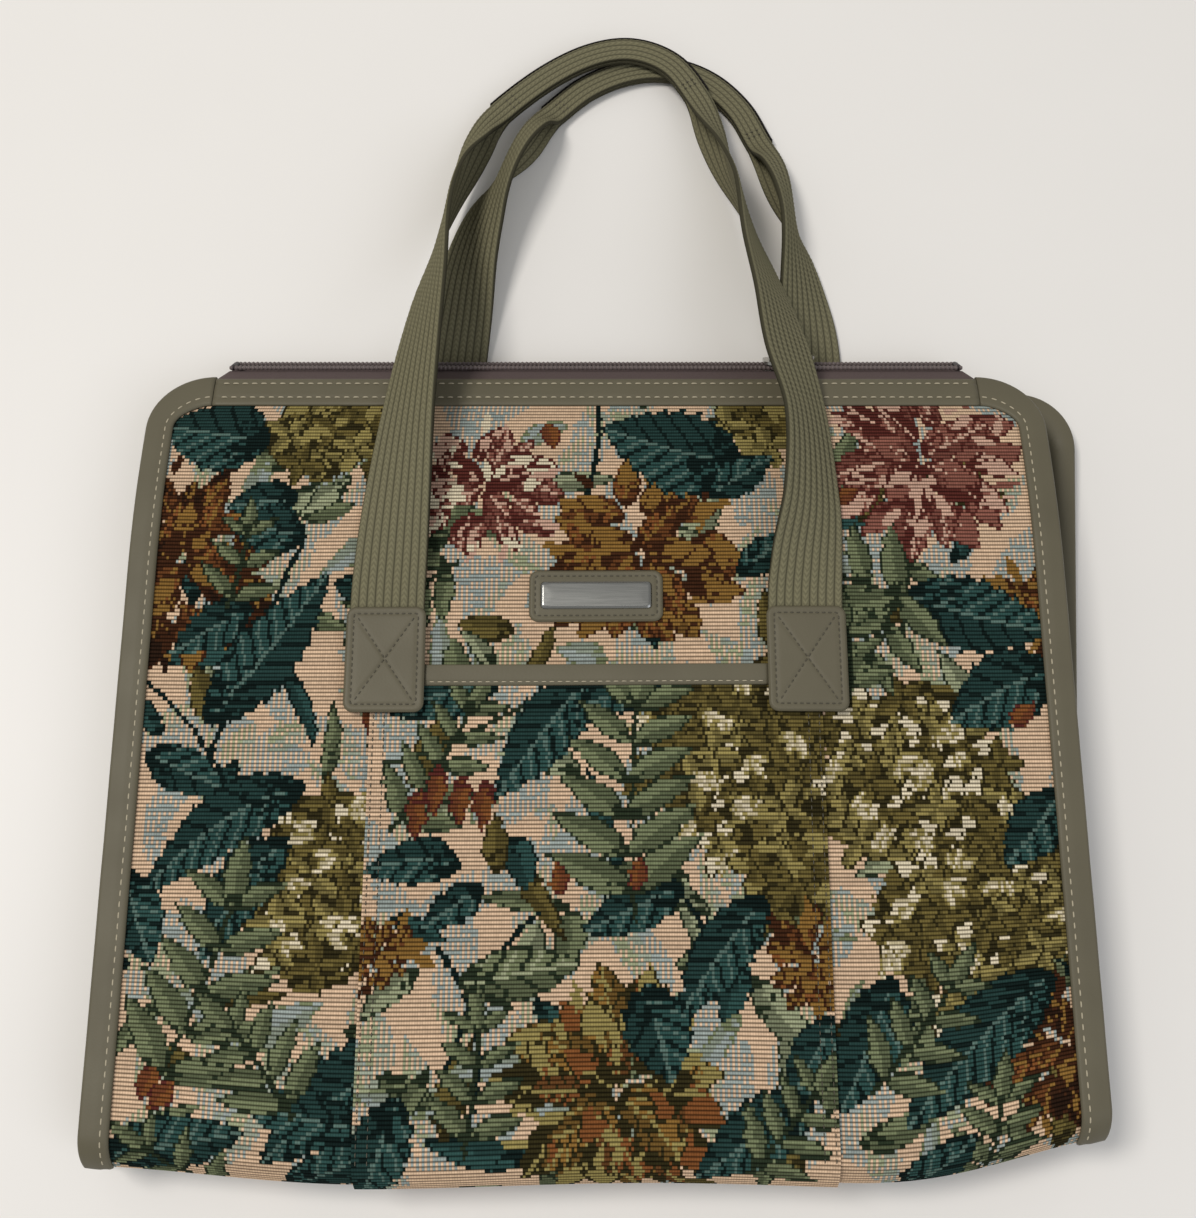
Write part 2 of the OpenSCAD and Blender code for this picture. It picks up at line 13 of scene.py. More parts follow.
import bmesh
import bpy
import numpy as np
from numpy.typing import NDArray
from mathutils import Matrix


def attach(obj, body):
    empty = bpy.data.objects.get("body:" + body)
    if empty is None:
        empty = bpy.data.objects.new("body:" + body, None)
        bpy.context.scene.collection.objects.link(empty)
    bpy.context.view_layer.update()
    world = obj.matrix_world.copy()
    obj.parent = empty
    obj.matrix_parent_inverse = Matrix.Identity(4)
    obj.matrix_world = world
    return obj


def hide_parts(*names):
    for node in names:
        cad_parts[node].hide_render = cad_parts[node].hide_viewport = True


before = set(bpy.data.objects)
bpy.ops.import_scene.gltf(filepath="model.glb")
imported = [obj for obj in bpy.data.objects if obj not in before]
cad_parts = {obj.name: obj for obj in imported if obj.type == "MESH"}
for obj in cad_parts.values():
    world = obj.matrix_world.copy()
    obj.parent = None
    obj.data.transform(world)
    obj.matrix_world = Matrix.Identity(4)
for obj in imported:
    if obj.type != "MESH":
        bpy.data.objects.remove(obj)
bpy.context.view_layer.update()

Array = NDArray[np.float64]
Indices = NDArray[np.int64]
Material = bpy.types.Material
Object = bpy.types.Object
Socket = bpy.types.NodeSocket
Input = Socket | float | tuple[float, ...]
LOG = logging.getLogger("tote")
MM = 0.001


class Layer(Enum):
    """Which part of the bag a surface belongs to, for how it settles."""

    FRONT = "front"
    MIDDLE = "middle"
    REAR = "rear"

    @property
    def up(self) -> int:
        """Outward along Z: -1 on the rear, 1 elsewhere."""
        return -1 if self is Layer.REAR else 1


class Side(Enum):
    """Left or right of the bag, as the sign of X."""

    LEFT = -1
    RIGHT = 1


@dataclass(frozen=True)
class Sizes:
    """Sizes of the bag in millimetres, the same as in the CAD source."""

    panel_w: float = 406.0
    panel_h: float = 350.0
    cloth_t: float = 1.6
    front_rise: float = 42.0
    mouth_drop: float = 15.0
    slope_l: float = 95.0
    corner_r: float = 27.0
    nose_d: float = 14.0
    rear_slip: float = 12.0
    gusset_tuck: float = 55.0
    gusset_t: float = 1.2
    hide_t: float = 1.4
    binding_w: float = 11.0
    band_h: float = 15.0
    patch_w: float = 34.0
    patch_l: float = 46.0
    patch_t: float = 1.6
    patch_drop: float = 115.0
    pocket_w: float = 192.0
    pocket_drop: float = 140.0
    trim_h: float = 9.0
    badge_w: float = 58.0
    badge_h: float = 23.0
    badge_drop: float = 109.0
    plate_l: float = 48.0
    plate_h: float = 12.0
    handle_span: float = 180.0
    handle_reach: float = 187.0
    strap_w: float = 32.0
    strap_t: float = 2.4
    fold_gap: float = 0.8
    strip_w: float = 18.0
    strip_t: float = 0.8
    zip_l: float = 344.0
    row_gap: float = 9.6
    coil_t: float = 2.6
    coil_pitch: float = 2.0
    zip_reach: float = 12.0
    zip_rise: float = 16.0
    zip_lean: float = 35.0
    tape_t: float = 0.8
    tape_tuck: float = 10.0
    gap: float = 0.1

    @property
    def top(self) -> float:
        """Y of the mouth's edge."""
        return self.panel_h / 2

    @property
    def edge(self) -> float:
        """X of the panels' right edge."""
        return self.panel_w / 2

    @property
    def nose_y(self) -> float:
        """Y at which the base's round edge starts."""
        return self.nose_d - self.panel_h / 2

    @property
    def rear_low(self) -> float:
        """Height of the rear panel's underside near the base."""
        return self.hide_t + self.gap

    @property
    def rear_high(self) -> float:
        """Height of the rear panel's underside over the straps."""
        return self.patch_t + self.strap_t + 2 * self.gap

    @property
    def pocket_top(self) -> float:
        """Height of the pocket's face."""
        return self.front_rise + self.gap + self.cloth_t


S = Sizes()


def smoothstep(low: float, high: float, x: Array) -> Array:
    """Rises smoothly from 0 at low to 1 at high.

    Args:
        low: where the rise starts.
        high: where it ends.
        x: where it is wanted.

    Returns:
        The values, from 0 to 1.
    """
    t = np.clip((np.asarray(x, float) - low) / (high - low), 0, 1)
    return t * t * (3 - 2 * t)


def unit(v: Array) -> Array:
    """Scales vectors along the last axis to length 1.

    Args:
        v: the vectors.

    Returns:
        The unit vectors.
    """
    return v / np.maximum(np.linalg.norm(v, axis=-1, keepdims=True), 1e-9)


def catmull(points: Array, steps: int) -> Array:
    """A smooth curve through points: the Catmull-Rom cubic on each stretch.

    Args:
        points: N rows of any width.
        steps: samples on each stretch.

    Returns:
        (N - 1) * steps + 1 rows.
    """
    padded = np.vstack([points[:1], points, points[-1:]])
    a, b, c, d = (padded[i : i + len(points) - 1][:, None] for i in range(4))
    t = (np.arange(steps) / steps)[None, :, None]
    curve = (2 * b + (c - a) * t + (2 * a - 5 * b + 4 * c - d) * t**2 + (3 * b - a - 3 * c + d) * t**3) / 2
    return np.vstack([curve.reshape(-1, points.shape[1]), points[-1:]])


def along(points: Array) -> Array:
    """Length along a line of points.

    Args:
        points: N rows of 2 or 3 numbers.

    Returns:
        N lengths, from 0.
    """
    return np.concatenate([[0.0], np.cumsum(np.linalg.norm(np.diff(points, axis=0), axis=1))])


def resample(points: Array, count: int) -> Array:
    """Points at even distances along a line.

    Args:
        points: the line.
        count: how many points are wanted.

    Returns:
        The points.
    """
    length = along(points)
    at = np.linspace(0, length[-1], count)
    return np.stack([np.interp(at, length, points[:, k]) for k in range(points.shape[1])], axis=1)


# The front falls to its mouth by this power of the way along the slope
SLOPE_POWER = 1.9
# The rear rises on to the strap ends over this share of the panel's height
RAMP_SHARE = 0.09
# The rear lies askew: its shift grows by SKEW mm for each mm above SKEW_Y
SKEW = 0.078
SKEW_Y = 30.0


def front_z(y: Array) -> Array:
    """Height of the front panel's face: flat, then falling to the mouth by a power of the way along.

    Args:
        y: where.

    Returns:
        Heights in mm.
    """
    way = np.clip((np.asarray(y, float) - (S.top - S.slope_l)) / S.slope_l, 0, 1.2)
    return S.front_rise - S.mouth_drop * way**SLOPE_POWER


def rear_z(y: Array) -> Array:
    """Height of the rear panel's underside: on the table, then raised over the strap ends.

    Args:
        y: where.

    Returns:
        Heights in mm.
    """
    return S.rear_low + (S.rear_high - S.rear_low) * smoothstep(-RAMP_SHARE * S.panel_h, 0, y)


def rear_slide(y: Array) -> Array:
    """How far to the right the rear panel lies: the slip, growing with height on the bag.

    Args:
        y: where.

    Returns:
        Distances in mm.
    """
    return S.rear_slip + SKEW * (np.asarray(y, float) - SKEW_Y)


class Drape:
    """How the soft bag settles: low swells on the front, and base corners that are drawn in."""

    # Heights of the front's long wave, its short one and the base's ripple, in mm
    LONG = 1.3
    SHORT = 0.6
    RIPPLE = 1.2
    # How far the base's right and left corners are drawn in, in mm
    DRAW_RIGHT = 17.0
    DRAW_LEFT = 5.0

    @staticmethod
    def swell(x: Array, y: Array) -> Array:
        """Lift of the front face: a long and a short wave that die out at the seams.

        Args:
            x: across the bag.
            y: along the bag.

        Returns:
            Lifts in mm.
        """
        inside = smoothstep(0, 45, S.edge - np.abs(x)) * smoothstep(0, 60, S.top - 25 - y)
        inside = inside * smoothstep(-S.top - 5, -S.top + 45, y)
        long = Drape.LONG * np.sin(x / 62 + 0.7) * np.cos(y / 71 - 0.5)
        return inside * (long + Drape.SHORT * np.sin(x / 29 - y / 41))

    @staticmethod
    def draw_in(x: Array, y: Array) -> Array:
        """How far the base's corners are drawn towards the mouth.

        Args:
            x: across the bag.
            y: along the bag.

        Returns:
            Distances in mm.
        """
        right = Drape.DRAW_RIGHT * smoothstep(95, 215, x) ** 1.4
        corner = right + Drape.DRAW_LEFT * smoothstep(-90, -215, x)
        wave = Drape.RIPPLE * np.sin(x / 38 + 1)
        return (corner + wave) * smoothstep(-40, -S.top + 6, y)

    @classmethod
    def settle(cls, x: Array, y: Array, z: Array, layer: Layer) -> Array:
        """Places of a soft piece as the bag lies.

        Args:
            x: across the bag.
            y: along the bag.
            z: up.
            layer: the part of the bag that the piece belongs to.

        Returns:
            Places in mm, the last axis being x, y, z.
        """
        lift = cls.swell(x, y) if layer is Layer.FRONT else 0.0
        return np.stack(np.broadcast_arrays(x, y + cls.draw_in(x, y), z + lift), axis=-1)


class Profile:
    """A line in Y and Z that a panel follows, with its outward normals."""

    def __init__(self, points: Array) -> None:
        """Keeps the line.

        Args:
            points: rows of y, z, from the mouth to the nose.
        """
        self.points = points
        self.length = along(points)
        tangent = unit(np.gradient(points, self.length, axis=0))
        self.normal = np.stack([-tangent[:, 1], tangent[:, 0]], axis=1)

    @property
    def total(self) -> float:
        """The line's whole length."""
        return float(self.length[-1])

    def at(self, v: Array, lift: Array) -> Array:
        """Places at lengths along the line, off it by a lift.

        Args:
            v: lengths along the line.
            lift: distances along the normal.

        Returns:
            Rows of y, z.
        """
        place = np.stack([np.interp(v, self.length, self.points[:, k]) for k in (0, 1)], axis=-1)
        normal = unit(np.stack([np.interp(v, self.length, self.normal[:, k]) for k in (0, 1)], axis=-1))
        return place + normal * np.asarray(lift, float)[..., None]


def nose_line(start: float, end: float, count: int) -> Array:
    """The half ellipse round the base, between two angles from straight out.

    Args:
        start: first angle in degrees.
        end: last angle in degrees.
        count: points wanted.

    Returns:
        Rows of y, z.
    """
    turn = np.radians(np.linspace(start, end, count))
    mid, half = (S.front_rise + S.rear_low) / 2, (S.front_rise - S.rear_low) / 2
    return np.stack([S.nose_y - S.nose_d * np.cos(turn), mid + half * np.sin(turn)], axis=1)


def press(away: Array, width: float) -> Array:
    """A pressed groove: 1 on its line, falling off as a bell.

    Args:
        away: distances from the line.
        width: where it has fallen to 1/e.

    Returns:
        Shares of the groove's depth.
    """
    return np.exp(-((away / width) ** 2))


def front_profile(top: float) -> Profile:
    """The front panel's line from a height down round the nose.

    Args:
        top: where it starts.

    Returns:
        The profile, its normals outward.
    """
    y = np.linspace(top, S.nose_y, 240)
    line = Profile(np.vstack([np.stack([y, front_z(y)], axis=1)[:-1], nose_line(90, 25, 40)]))
    line.normal *= -1
    return line


def rear_profile() -> Profile:
    """The rear panel's underside from the mouth down round the nose.

    Returns:
        The profile, its normals outward.
    """
    y = np.linspace(S.top, S.nose_y, 240)
    return Profile(np.vstack([np.stack([y, rear_z(y)], axis=1)[:-1], nose_line(-90, -25, 40)]))


def half_width(y: Array) -> Array:
    """Half the panels' width at y, less where the top corners are round.

    Args:
        y: where.

    Returns:
        Half widths in mm.
    """
    up = np.clip(np.asarray(y, float) - (S.top - S.corner_r), 0, S.corner_r)
    return S.edge - S.corner_r + np.sqrt(S.corner_r**2 - up**2)


# Meshes


def grid_faces(rows: int, cols: int, wrap: bool = False) -> Indices:
    """Quads of a grid of rows and columns.

    Args:
        rows: vertex rows.
        cols: vertex columns.
        wrap: whether the last column joins the first.

    Returns:
        Rows of four vertex numbers.
    """
    index = np.arange(rows * cols).reshape(rows, cols)
    if wrap:
        index = np.concatenate([index, index[:, :1]], axis=1)
    return np.stack([index[:-1, :-1], index[1:, :-1], index[1:, 1:], index[:-1, 1:]], axis=-1).reshape(-1, 4)


def bead_faces(rings: int, sides: int, count: int) -> Indices:
    """Quads of several equal round shapes, one after the other.

    Args:
        rings: rings of each shape.
        sides: places round each ring.
        count: how many shapes.

    Returns:
        Rows of four vertex numbers.
    """
    face = grid_faces(rings, sides, wrap=True)
    return (face[None] + (np.arange(count) * rings * sides)[:, None, None]).reshape(-1, 4)


def make_object(
    name: str,
    points: Array,
    quads: Indices,
    material: Material,
    uv: Array | None = None,
    colours: Array | None = None,
    caps: Sequence[Sequence[int]] = (),
    closed: bool = True,
) -> Object:
    """Makes a mesh object from whole arrays.

    Args:
        name: the object's name.
        points: N places in mm.
        quads: rows of four vertex numbers.
        material: its finish.
        uv: N pairs in mm, if the finish reads them.
        colours: one linear RGB for each quad, if the finish reads them.
        caps: further faces of any number of corners.
        closed: whether the faces are turned outward by Blender.

    Returns:
        The object, linked to the scene.
    """
    flat = points.reshape(-1, 3) * MM
    corners = np.concatenate([quads.reshape(-1), *[np.asarray(c, np.int64) for c in caps]]).astype(np.int32)
    totals = np.concatenate([np.full(len(quads), 4), [len(c) for c in caps]]).astype(np.int32)
    starts = np.concatenate([[0], np.cumsum(totals)[:-1]]).astype(np.int32)
    mesh = bpy.data.meshes.new(name)
    mesh.vertices.add(len(flat))
    mesh.vertices.foreach_set("co", flat.reshape(-1))
    mesh.loops.add(len(corners))
    mesh.loops.foreach_set("vertex_index", corners)
    mesh.polygons.add(len(totals))
    mesh.polygons.foreach_set("loop_start", starts)
    mesh.polygons.foreach_set("loop_total", totals)
    mesh.update(calc_edges=True)
    if uv is not None:
        mesh.uv_layers.new(name="mm").data.foreach_set("uv", uv.reshape(-1, 2)[corners].reshape(-1))
    if colours is not None:
        layer = mesh.color_attributes.new("weave", "FLOAT_COLOR", "CORNER")
        painted = np.ones((len(corners), 4))
        painted[: 4 * len(quads), :3] = np.repeat(colours, 4, axis=0)
        layer.data.foreach_set("color", painted.reshape(-1))
    if closed:
        work = bmesh.new()
        work.from_mesh(mesh)
        bmesh.ops.recalc_face_normals(work, faces=work.faces)
        work.to_mesh(mesh)
        work.free()
    mesh.polygons.foreach_set("use_smooth", np.ones(len(mesh.polygons), bool))
    mesh.materials.append(material)
    obj = bpy.data.objects.new(name, mesh)
    bpy.context.scene.collection.objects.link(obj)
    LOG.info("%s: %d faces", name, len(totals))
    return obj


def make_sheet(name: str, outer: Array, inner: Array, material: Material) -> Object:
    """A closed sheet between two grids of places.

    Args:
        name: the object's name.
        outer: rows by columns of places on one face.
        inner: the places on the other face.
        material: its finish.

    Returns:
        The object.
    """
    rows, cols = outer.shape[:2]
    face = grid_faces(rows, cols)
    index = np.arange(rows * cols).reshape(rows, cols)
    rim = np.concatenate([index[0], index[1:, -1], index[-1, -2::-1], index[-2:0:-1, 0]])
    after = np.roll(rim, -1)
    sides = np.stack([rim, after, after + rows * cols, rim + rows * cols], axis=1)
    quads = np.concatenate([face, face[:, ::-1] + rows * cols, sides])
    return make_object(name, np.concatenate([outer.reshape(-1, 3), inner.reshape(-1, 3)]), quads, material)


def make_sweep(name: str, rings: Array, material: Material, uv: Array | None = None) -> Object:
    """A closed solid over rings of places.

    Args:
        name: the object's name.
        rings: rings by points of places.
        material: its finish.
        uv: a pair in mm for each place.

    Returns:
        The object.
    """
    count, size = rings.shape[:2]
    caps = [list(range(size)), list(range((count - 1) * size, count * size))]
    return make_object(name, rings, grid_faces(count, size, wrap=True), material, uv, caps=caps)


def dress(obj: Object, node: str = "") -> Object:
    """Lets a piece ride on the bag, in place of a CAD node if one is named.

    Args:
        obj: the piece.
        node: the CAD node that it stands for.

    Returns:
        The piece.
    """
    if node:
        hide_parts(node)
    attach(obj, "bag")
    return obj


# Finishes


def linear(code: str) -> tuple[float, float, float]:
    """Turns a hex sRGB colour into linear RGB.

    Args:
        code: such as "#6f6b5e".

    Returns:
        Three linear values.
    """
    raw = np.array([int(code[i : i + 2], 16) for i in (1, 3, 5)]) / 255
    value = np.where(raw <= 0.04045, raw / 12.92, ((raw + 0.055) / 1.055) ** 2.4)
    return tuple(float(v) for v in value)


class Tree:
    """A material's node tree, with one short way to add a node."""

    def __init__(self, name: str) -> None:
        """Starts an empty material.

        Args:
            name: the material's name.
        """
        self.material = bpy.data.materials.new(name)
        self.material.use_nodes = True
        self.nodes = self.material.node_tree.nodes
        self.links = self.material.node_tree.links
        self.nodes.clear()

    def add(self, kind: str, settings: dict[str, str] | None = None, **inputs: Input) -> bpy.types.Node:
        """Adds a node.

        Args:
            kind: the node's type name.
            settings: properties of the node.
            inputs: socket name or "i" and its number, to a value or to another node's output.

        Returns:
            The node.
        """
        node = self.nodes.new(kind)
        for key, value in (settings or {}).items():
            setattr(node, key, value)
        for key, value in inputs.items():
            socket = node.inputs[int(key[1:])] if key[1:].isdigit() else node.inputs[key.replace("_", " ")]
            if isinstance(value, Socket):
                self.links.new(value, socket)
            else:
                socket.default_value = value
        return node

    def math(self, operation: str, *values: Input) -> Socket:
        """Adds a sum.

        Args:
            operation: such as "MULTIPLY".
            values: its inputs.

        Returns:
            The result's socket.
        """
        inputs = {f"i{number}": value for number, value in enumerate(values)}
        return self.add("ShaderNodeMath", {"operation": operation}, **inputs).outputs[0]

    def mix(self, share: Input, first: Input, second: Input, blend: str = "MIX") -> Socket:
        """Mixes two colours.

        Args:
            share: how much of the second.
            first: a colour.
            second: a colour.
            blend: the way of mixing.

        Returns:
            The colour's socket.
        """
        settings = {"data_type": "RGBA", "blend_type": blend}
        return self.add("ShaderNodeMix", settings, i0=share, i6=first, i7=second).outputs[2]

    def stripes(self, value: Socket, period: float) -> Socket:
        """Distance from the middle of each stripe: 0 there, 0.5 between two stripes.

        Args:
            value: what is divided into stripes.
            period: their width.

        Returns:
            The distance's socket.
        """
        part = self.math("FRACT", self.math("DIVIDE", value, period))
        return self.math("ABSOLUTE", self.math("SUBTRACT", part, 0.5))

    def noise(self, place: Socket, size: float, detail: float = 3.0) -> Socket:
        """Noise with grains of a size.

        Args:
            place: the coordinates.
            size: the grains' size in mm.
            detail: how many finer layers it has.

        Returns:
            The noise's socket.
        """
        scale = 1 / (size * MM)
        return self.add("ShaderNodeTexNoise", Vector=place, Scale=scale, Detail=detail).outputs[0]

    def bump(self, height: Socket, strength: float, depth: float) -> Socket:
        """Relief from a height.

        Args:
            height: the height.
            strength: how much of it shows.
            depth: its depth in mm.

        Returns:
            The normal's socket.
        """
        return self.add("ShaderNodeBump", Strength=strength, Distance=depth * MM, Height=height).outputs[0]

    def finish(self, **inputs: Input) -> Material:
        """Adds the surface and the output.

        Args:
            inputs: the surface's inputs.

        Returns:
            The material.
        """
        surface = self.add("ShaderNodeBsdfPrincipled", **inputs)
        self.add("ShaderNodeOutputMaterial", Surface=surface.outputs[0])
        return self.material


def rgba(code: str) -> tuple[float, float, float, float]:
    """A hex colour as linear RGBA.

    Args:
        code: the hex colour.

    Returns:
        Four values.
    """
    return (*linear(code), 1.0)


# Width of a weft rib in mm, and cells of weave across the front panel
RIB = 1.7
COLUMNS = 380
# Ribs across the webbing, and the length of one slanted pick in mm
STRAP_RIBS = 9
STRAP_PICK = 2.6


@dataclass(frozen=True)
class Tapestry:
    """Jacquard cloth: colours from the weave attribute, dark lines between weft ribs and fine warp threads,
    the lines partly the brown warp and partly painted shade.
    """

    name: str = "tapestry cloth"
    warp: float = S.panel_w / COLUMNS
    # Tint of the yarn where it sinks between two ribs: the brown warp that shows there, and painted shade in
    # the groove
    line: str = "#453c35"
    # How dark the lines of brown warp and painted shade between two ribs and between two warp threads are
    rib_shade: float = 0.95
    warp_shade: float = 0.32

    def build(self) -> Material:
        """Makes the material.

        Returns:
            The material.
        """
        t = Tree(self.name)
        base = t.add("ShaderNodeAttribute", {"attribute_name": "weave"}).outputs["Color"]
        uv = t.add("ShaderNodeSeparateXYZ", Vector=t.add("ShaderNodeUVMap", {"uv_map": "mm"}).outputs[0])
        ribs = t.stripes(uv.outputs[1], RIB)
        warps = t.stripes(uv.outputs[0], self.warp)
        # Broad lines of brown warp and painted shade between the ribs, the broadest on the pale ground
        value = t.add("ShaderNodeRGBToBW", Color=base).outputs[0]
        sharp = t.math("MULTIPLY_ADD", value, -0.5, 1.75)
        groove = t.math("POWER", t.math("MULTIPLY", ribs, 2.0), sharp)
        pick = t.math("POWER", t.math("MULTIPLY", warps, 2.0), 4.0)
        # Painted shade: the base darkened by the tint, laid into the grooves below
        deep = t.mix(1.0, base, rgba(self.line), "MULTIPLY")
        groove_shaded = t.mix(t.math("MULTIPLY", groove, self.rib_shade), base, deep)
        groove_shaded = t.mix(t.math("MULTIPLY", pick, self.warp_shade), groove_shaded, deep)
        height = t.math("SUBTRACT", 1.0, t.math("MAXIMUM", groove, t.math("MULTIPLY", pick, 0.6)))
        relief = t.bump(height, 0.5, 0.3)
        return t.finish(Base_Color=groove_shaded, Roughness=0.9, Specular_IOR_Level=0.04, Normal=relief)


@dataclass(frozen=True)
class Leatherette:
    """Coated cloth in taupe with a fine grain and a soft shine."""

    name: str = "taupe leatherette"
    colour: str = "#645f4d"
    shade: str = "#585343"
    cloud: float = 28.0
    # Real grain is about half as wide, too fine to show
    grain: float = 1.05
    crease: float = 2.4

    def build(self) -> Material:
        """Makes the material.

        Returns:
            The material.
        """
        t = Tree(self.name)
        place = t.add("ShaderNodeTexCoord").outputs["Object"]
        cloud = t.noise(place, self.cloud)
        grain = t.add("ShaderNodeTexVoronoi", Vector=place, Scale=1 / (self.grain * MM)).outputs[0]
        fine = t.noise(place, self.crease, 4.0)
        relief = t.bump(t.math("ADD", grain, t.math("MULTIPLY", fine, 0.4)), 0.14, 0.2)
        colour = t.mix(cloud, rgba(self.colour), rgba(self.shade))
        rough = t.math("ADD", 0.46, t.math("MULTIPLY", cloud, 0.16))
        return t.finish(Base_Color=colour, Roughness=rough, Specular_IOR_Level=0.28, Normal=relief)


@dataclass(frozen=True)
class Webbing:
    """Cotton webbing: slanted picks that turn over from rib to rib, like a herringbone, with painted shade in
    the grooves and where the picks sink.
    """

    name: str = "olive taupe webbing"
    colour: str = "#7b775e"
    shade: str = "#3b392d"
    rib: float = S.strap_w / STRAP_RIBS
    fibre: float = 1.1

    def build(self) -> Material:
        """Makes the material.

        Returns:
            The material.
        """
        t = Tree(self.name)
        uv = t.add("ShaderNodeSeparateXYZ", Vector=t.add("ShaderNodeUVMap", {"uv_map": "mm"}).outputs[0])
        rib = t.stripes(uv.outputs[0], self.rib)
        slant = t.math("ADD", uv.outputs[1], t.math("MULTIPLY", rib, self.rib * 1.3))
        pick = t.stripes(slant, STRAP_PICK)
        fibre = t.noise(t.add("ShaderNodeTexCoord").outputs["Object"], self.fibre)
        groove = t.math("POWER", t.math("MULTIPLY", rib, 2.0), 3.0)
        height = t.math("ADD", t.math("MULTIPLY", pick, 1.4), t.math("MULTIPLY", fibre, 0.5))
        # Painted shade: darker in the grooves between ribs and where each pick sinks
        sunk_shade = t.math("MULTIPLY", t.math("SUBTRACT", 0.5, pick), 0.85)
        dark = t.math("MAXIMUM", t.math("MULTIPLY", groove, 0.95), sunk_shade)
        return t.finish(
            Base_Color=t.mix(dark, rgba(self.colour), rgba(self.shade)),
            Roughness=0.85,
            Specular_IOR_Level=0.06,
            Normal=t.bump(height, 0.65, 0.4),
        )


@dataclass(frozen=True)
class PlainCloth:
    """Plain woven cloth with fine threads both ways, with painted shade where the threads dip."""

    name: str
    colour: str
    shade: str
    thread: float = 0.7

    def build(self) -> Material:
        """Makes the material.

        Returns:
            The material.
        """
        t = Tree(self.name)
        place = t.add("ShaderNodeSeparateXYZ", Vector=t.add("ShaderNodeTexCoord").outputs["Object"])
        turn = 2 * math.pi / (self.thread * MM)
        waves = [t.math("SINE", t.math("MULTIPLY", place.outputs[k], turn)) for k in (0, 1)]
        height = t.math("MULTIPLY", waves[0], waves[1])
        relief = t.bump(height, 0.4, 0.2)
        # Painted shade: the shade colour where the threads dip, the colour where they rise
        colour = t.mix(t.math("MULTIPLY_ADD", height, 0.5, 0.5), rgba(self.shade), rgba(self.colour))
        return t.finish(Base_Color=colour, Roughness=0.85, Specular_IOR_Level=0.2, Normal=relief)


@dataclass(frozen=True)
class Mottled:
    """A nearly even surface: two close tones, a varying gloss and a faint relief, all on one fine noise."""

    name: str
    colour: str
    shade: str
    roughness: float
    grain: float
    metallic: float = 0.0
    specular: float = 0.4
    spread: float = 0.12
    relief: float = 0.05

    def build(self) -> Material:
        """Makes the material.

        Returns:
            The material.
        """
        t = Tree(self.name)
        place = t.add("ShaderNodeTexCoord").outputs["Object"]
        fleck = t.noise(place, self.grain)
        return t.finish(
            Base_Color=t.mix(fleck, rgba(self.shade), rgba(self.colour)),
            Roughness=t.math("MULTIPLY_ADD", fleck, self.spread, self.roughness - self.spread / 2),
            Metallic=self.metallic,
            Specular_IOR_Level=self.specular,
            Normal=t.bump(fleck, 0.3, self.relief),
        )


@dataclass(frozen=True)
class BrushedPlate:
    """A metal plate with fine lines along it."""

    name: str = "brushed nickel plate"
    colour: str = "#8f908d"
    line: float = 0.4
    # Length of a brushed line over its width
    drawn: float = 40.0

    def build(self) -> Material:
        """Makes the material.

        Returns:
            The material.
        """
        t = Tree(self.name)
        place = t.add("ShaderNodeTexCoord").outputs["Object"]
        stretch = (self.drawn, 1.0, 1.0)
        drawn = t.add("ShaderNodeMapping", {"vector_type": "TEXTURE"}, Vector=place, Scale=stretch).outputs[0]
        line = t.noise(drawn, self.line, 2.0)
        return t.finish(
            Base_Color=rgba(self.colour),
            Metallic=1.0,
            Roughness=t.math("MULTIPLY_ADD", line, 0.15, 0.2),
            Normal=t.bump(line, 0.06, 0.1),
        )


class Finishes:
    """Every finish of the bag, built once."""

    def __init__(self) -> None:
        """Builds them all."""
        # Jacquard weave: matt, ribbed, with the picture in its weft
        self.tapestry = Tapestry().build()
        # The cloth's own back: plain floats of weft
        self.backing = PlainCloth("tapestry back", "#8d7a68", "#5d4f45", 1.0).build()
        # Plain dull canvas, dark in the folds
        self.gusset = PlainCloth("gusset canvas", "#4b463b", "#35312a").build()
        # Coated cloth: a soft satin shine over a fine grain
        self.hide = Leatherette().build()
        # Cotton webbing: matt, with slanted picks on each rib and painted shade in the grooves between them
        self.webbing = Webbing().build()
        # Spun polyester: pale and a little shiny, with flecks of fibre
        self.thread = Mottled("beige thread", "#b9b098", "#9b927c", 0.6, 0.6).build()
        # The same thread in the leatherette's colour
        self.dark_thread = Mottled("taupe thread", "#575346", "#433f34", 0.65, 0.6).build()
        # Woven tape, nearly black and matt
        self.strip = PlainCloth("dark woven strip", "#24211e", "#161412", 0.9).build()
        # Polyester tape: fine plain weave
        self.tape = PlainCloth("plum zip tape", "#6a5d5a", "#4c4142", 0.6).build()
        # Drawn nylon: smooth, with a narrow shine on every loop
        self.coil = Mottled("nylon coil", "#6a5f5d", "#544a49", 0.38, 1.2).build()
        # Plated die-cast metal, its shine broken by wear
        self.metal = Mottled("worn nickel", "#bdbcb7", "#a9a7a1", 0.28, 2.0, 1.0, spread=0.16).build()
        # Moulded end stops, darker than the coil
        self.stop = Mottled("dark zip stop", "#342d2e", "#241f20", 0.5, 1.5).build()
        # Brushed metal: a streak of light along its lines
        self.plate = BrushedPlate().build()


# Woven picture


class Yarn(Enum):
    """Weft colours of the tapestry."""

    GROUND = "#e0c1a1"
    CREAM = "#e6dabc"
    PALE = "#9ea9a4"
    TEAL_DARK = "#13211f"
    TEAL = "#31504c"
    TEAL_LIGHT = "#5a736b"
    SAGE_DARK = "#2a3425"
    SAGE = "#788160"
    SAGE_LIGHT = "#9ea584"
    OLIVE_DARK = "#332e19"
    OLIVE = "#6e6236"
    OLIVE_LIGHT = "#988b54"
    GOLD = "#8a6834"
    RUST = "#80502c"
    RUST_DARK = "#402617"
    BURGUNDY = "#572b25"
    ROSE = "#8d5b4e"
    PINK = "#cfa994"
    BROWN = "#2b1c13"

    @property
    def rgb(self) -> Array:
        """The yarn's linear colour."""
        return np.array(linear(self.value))


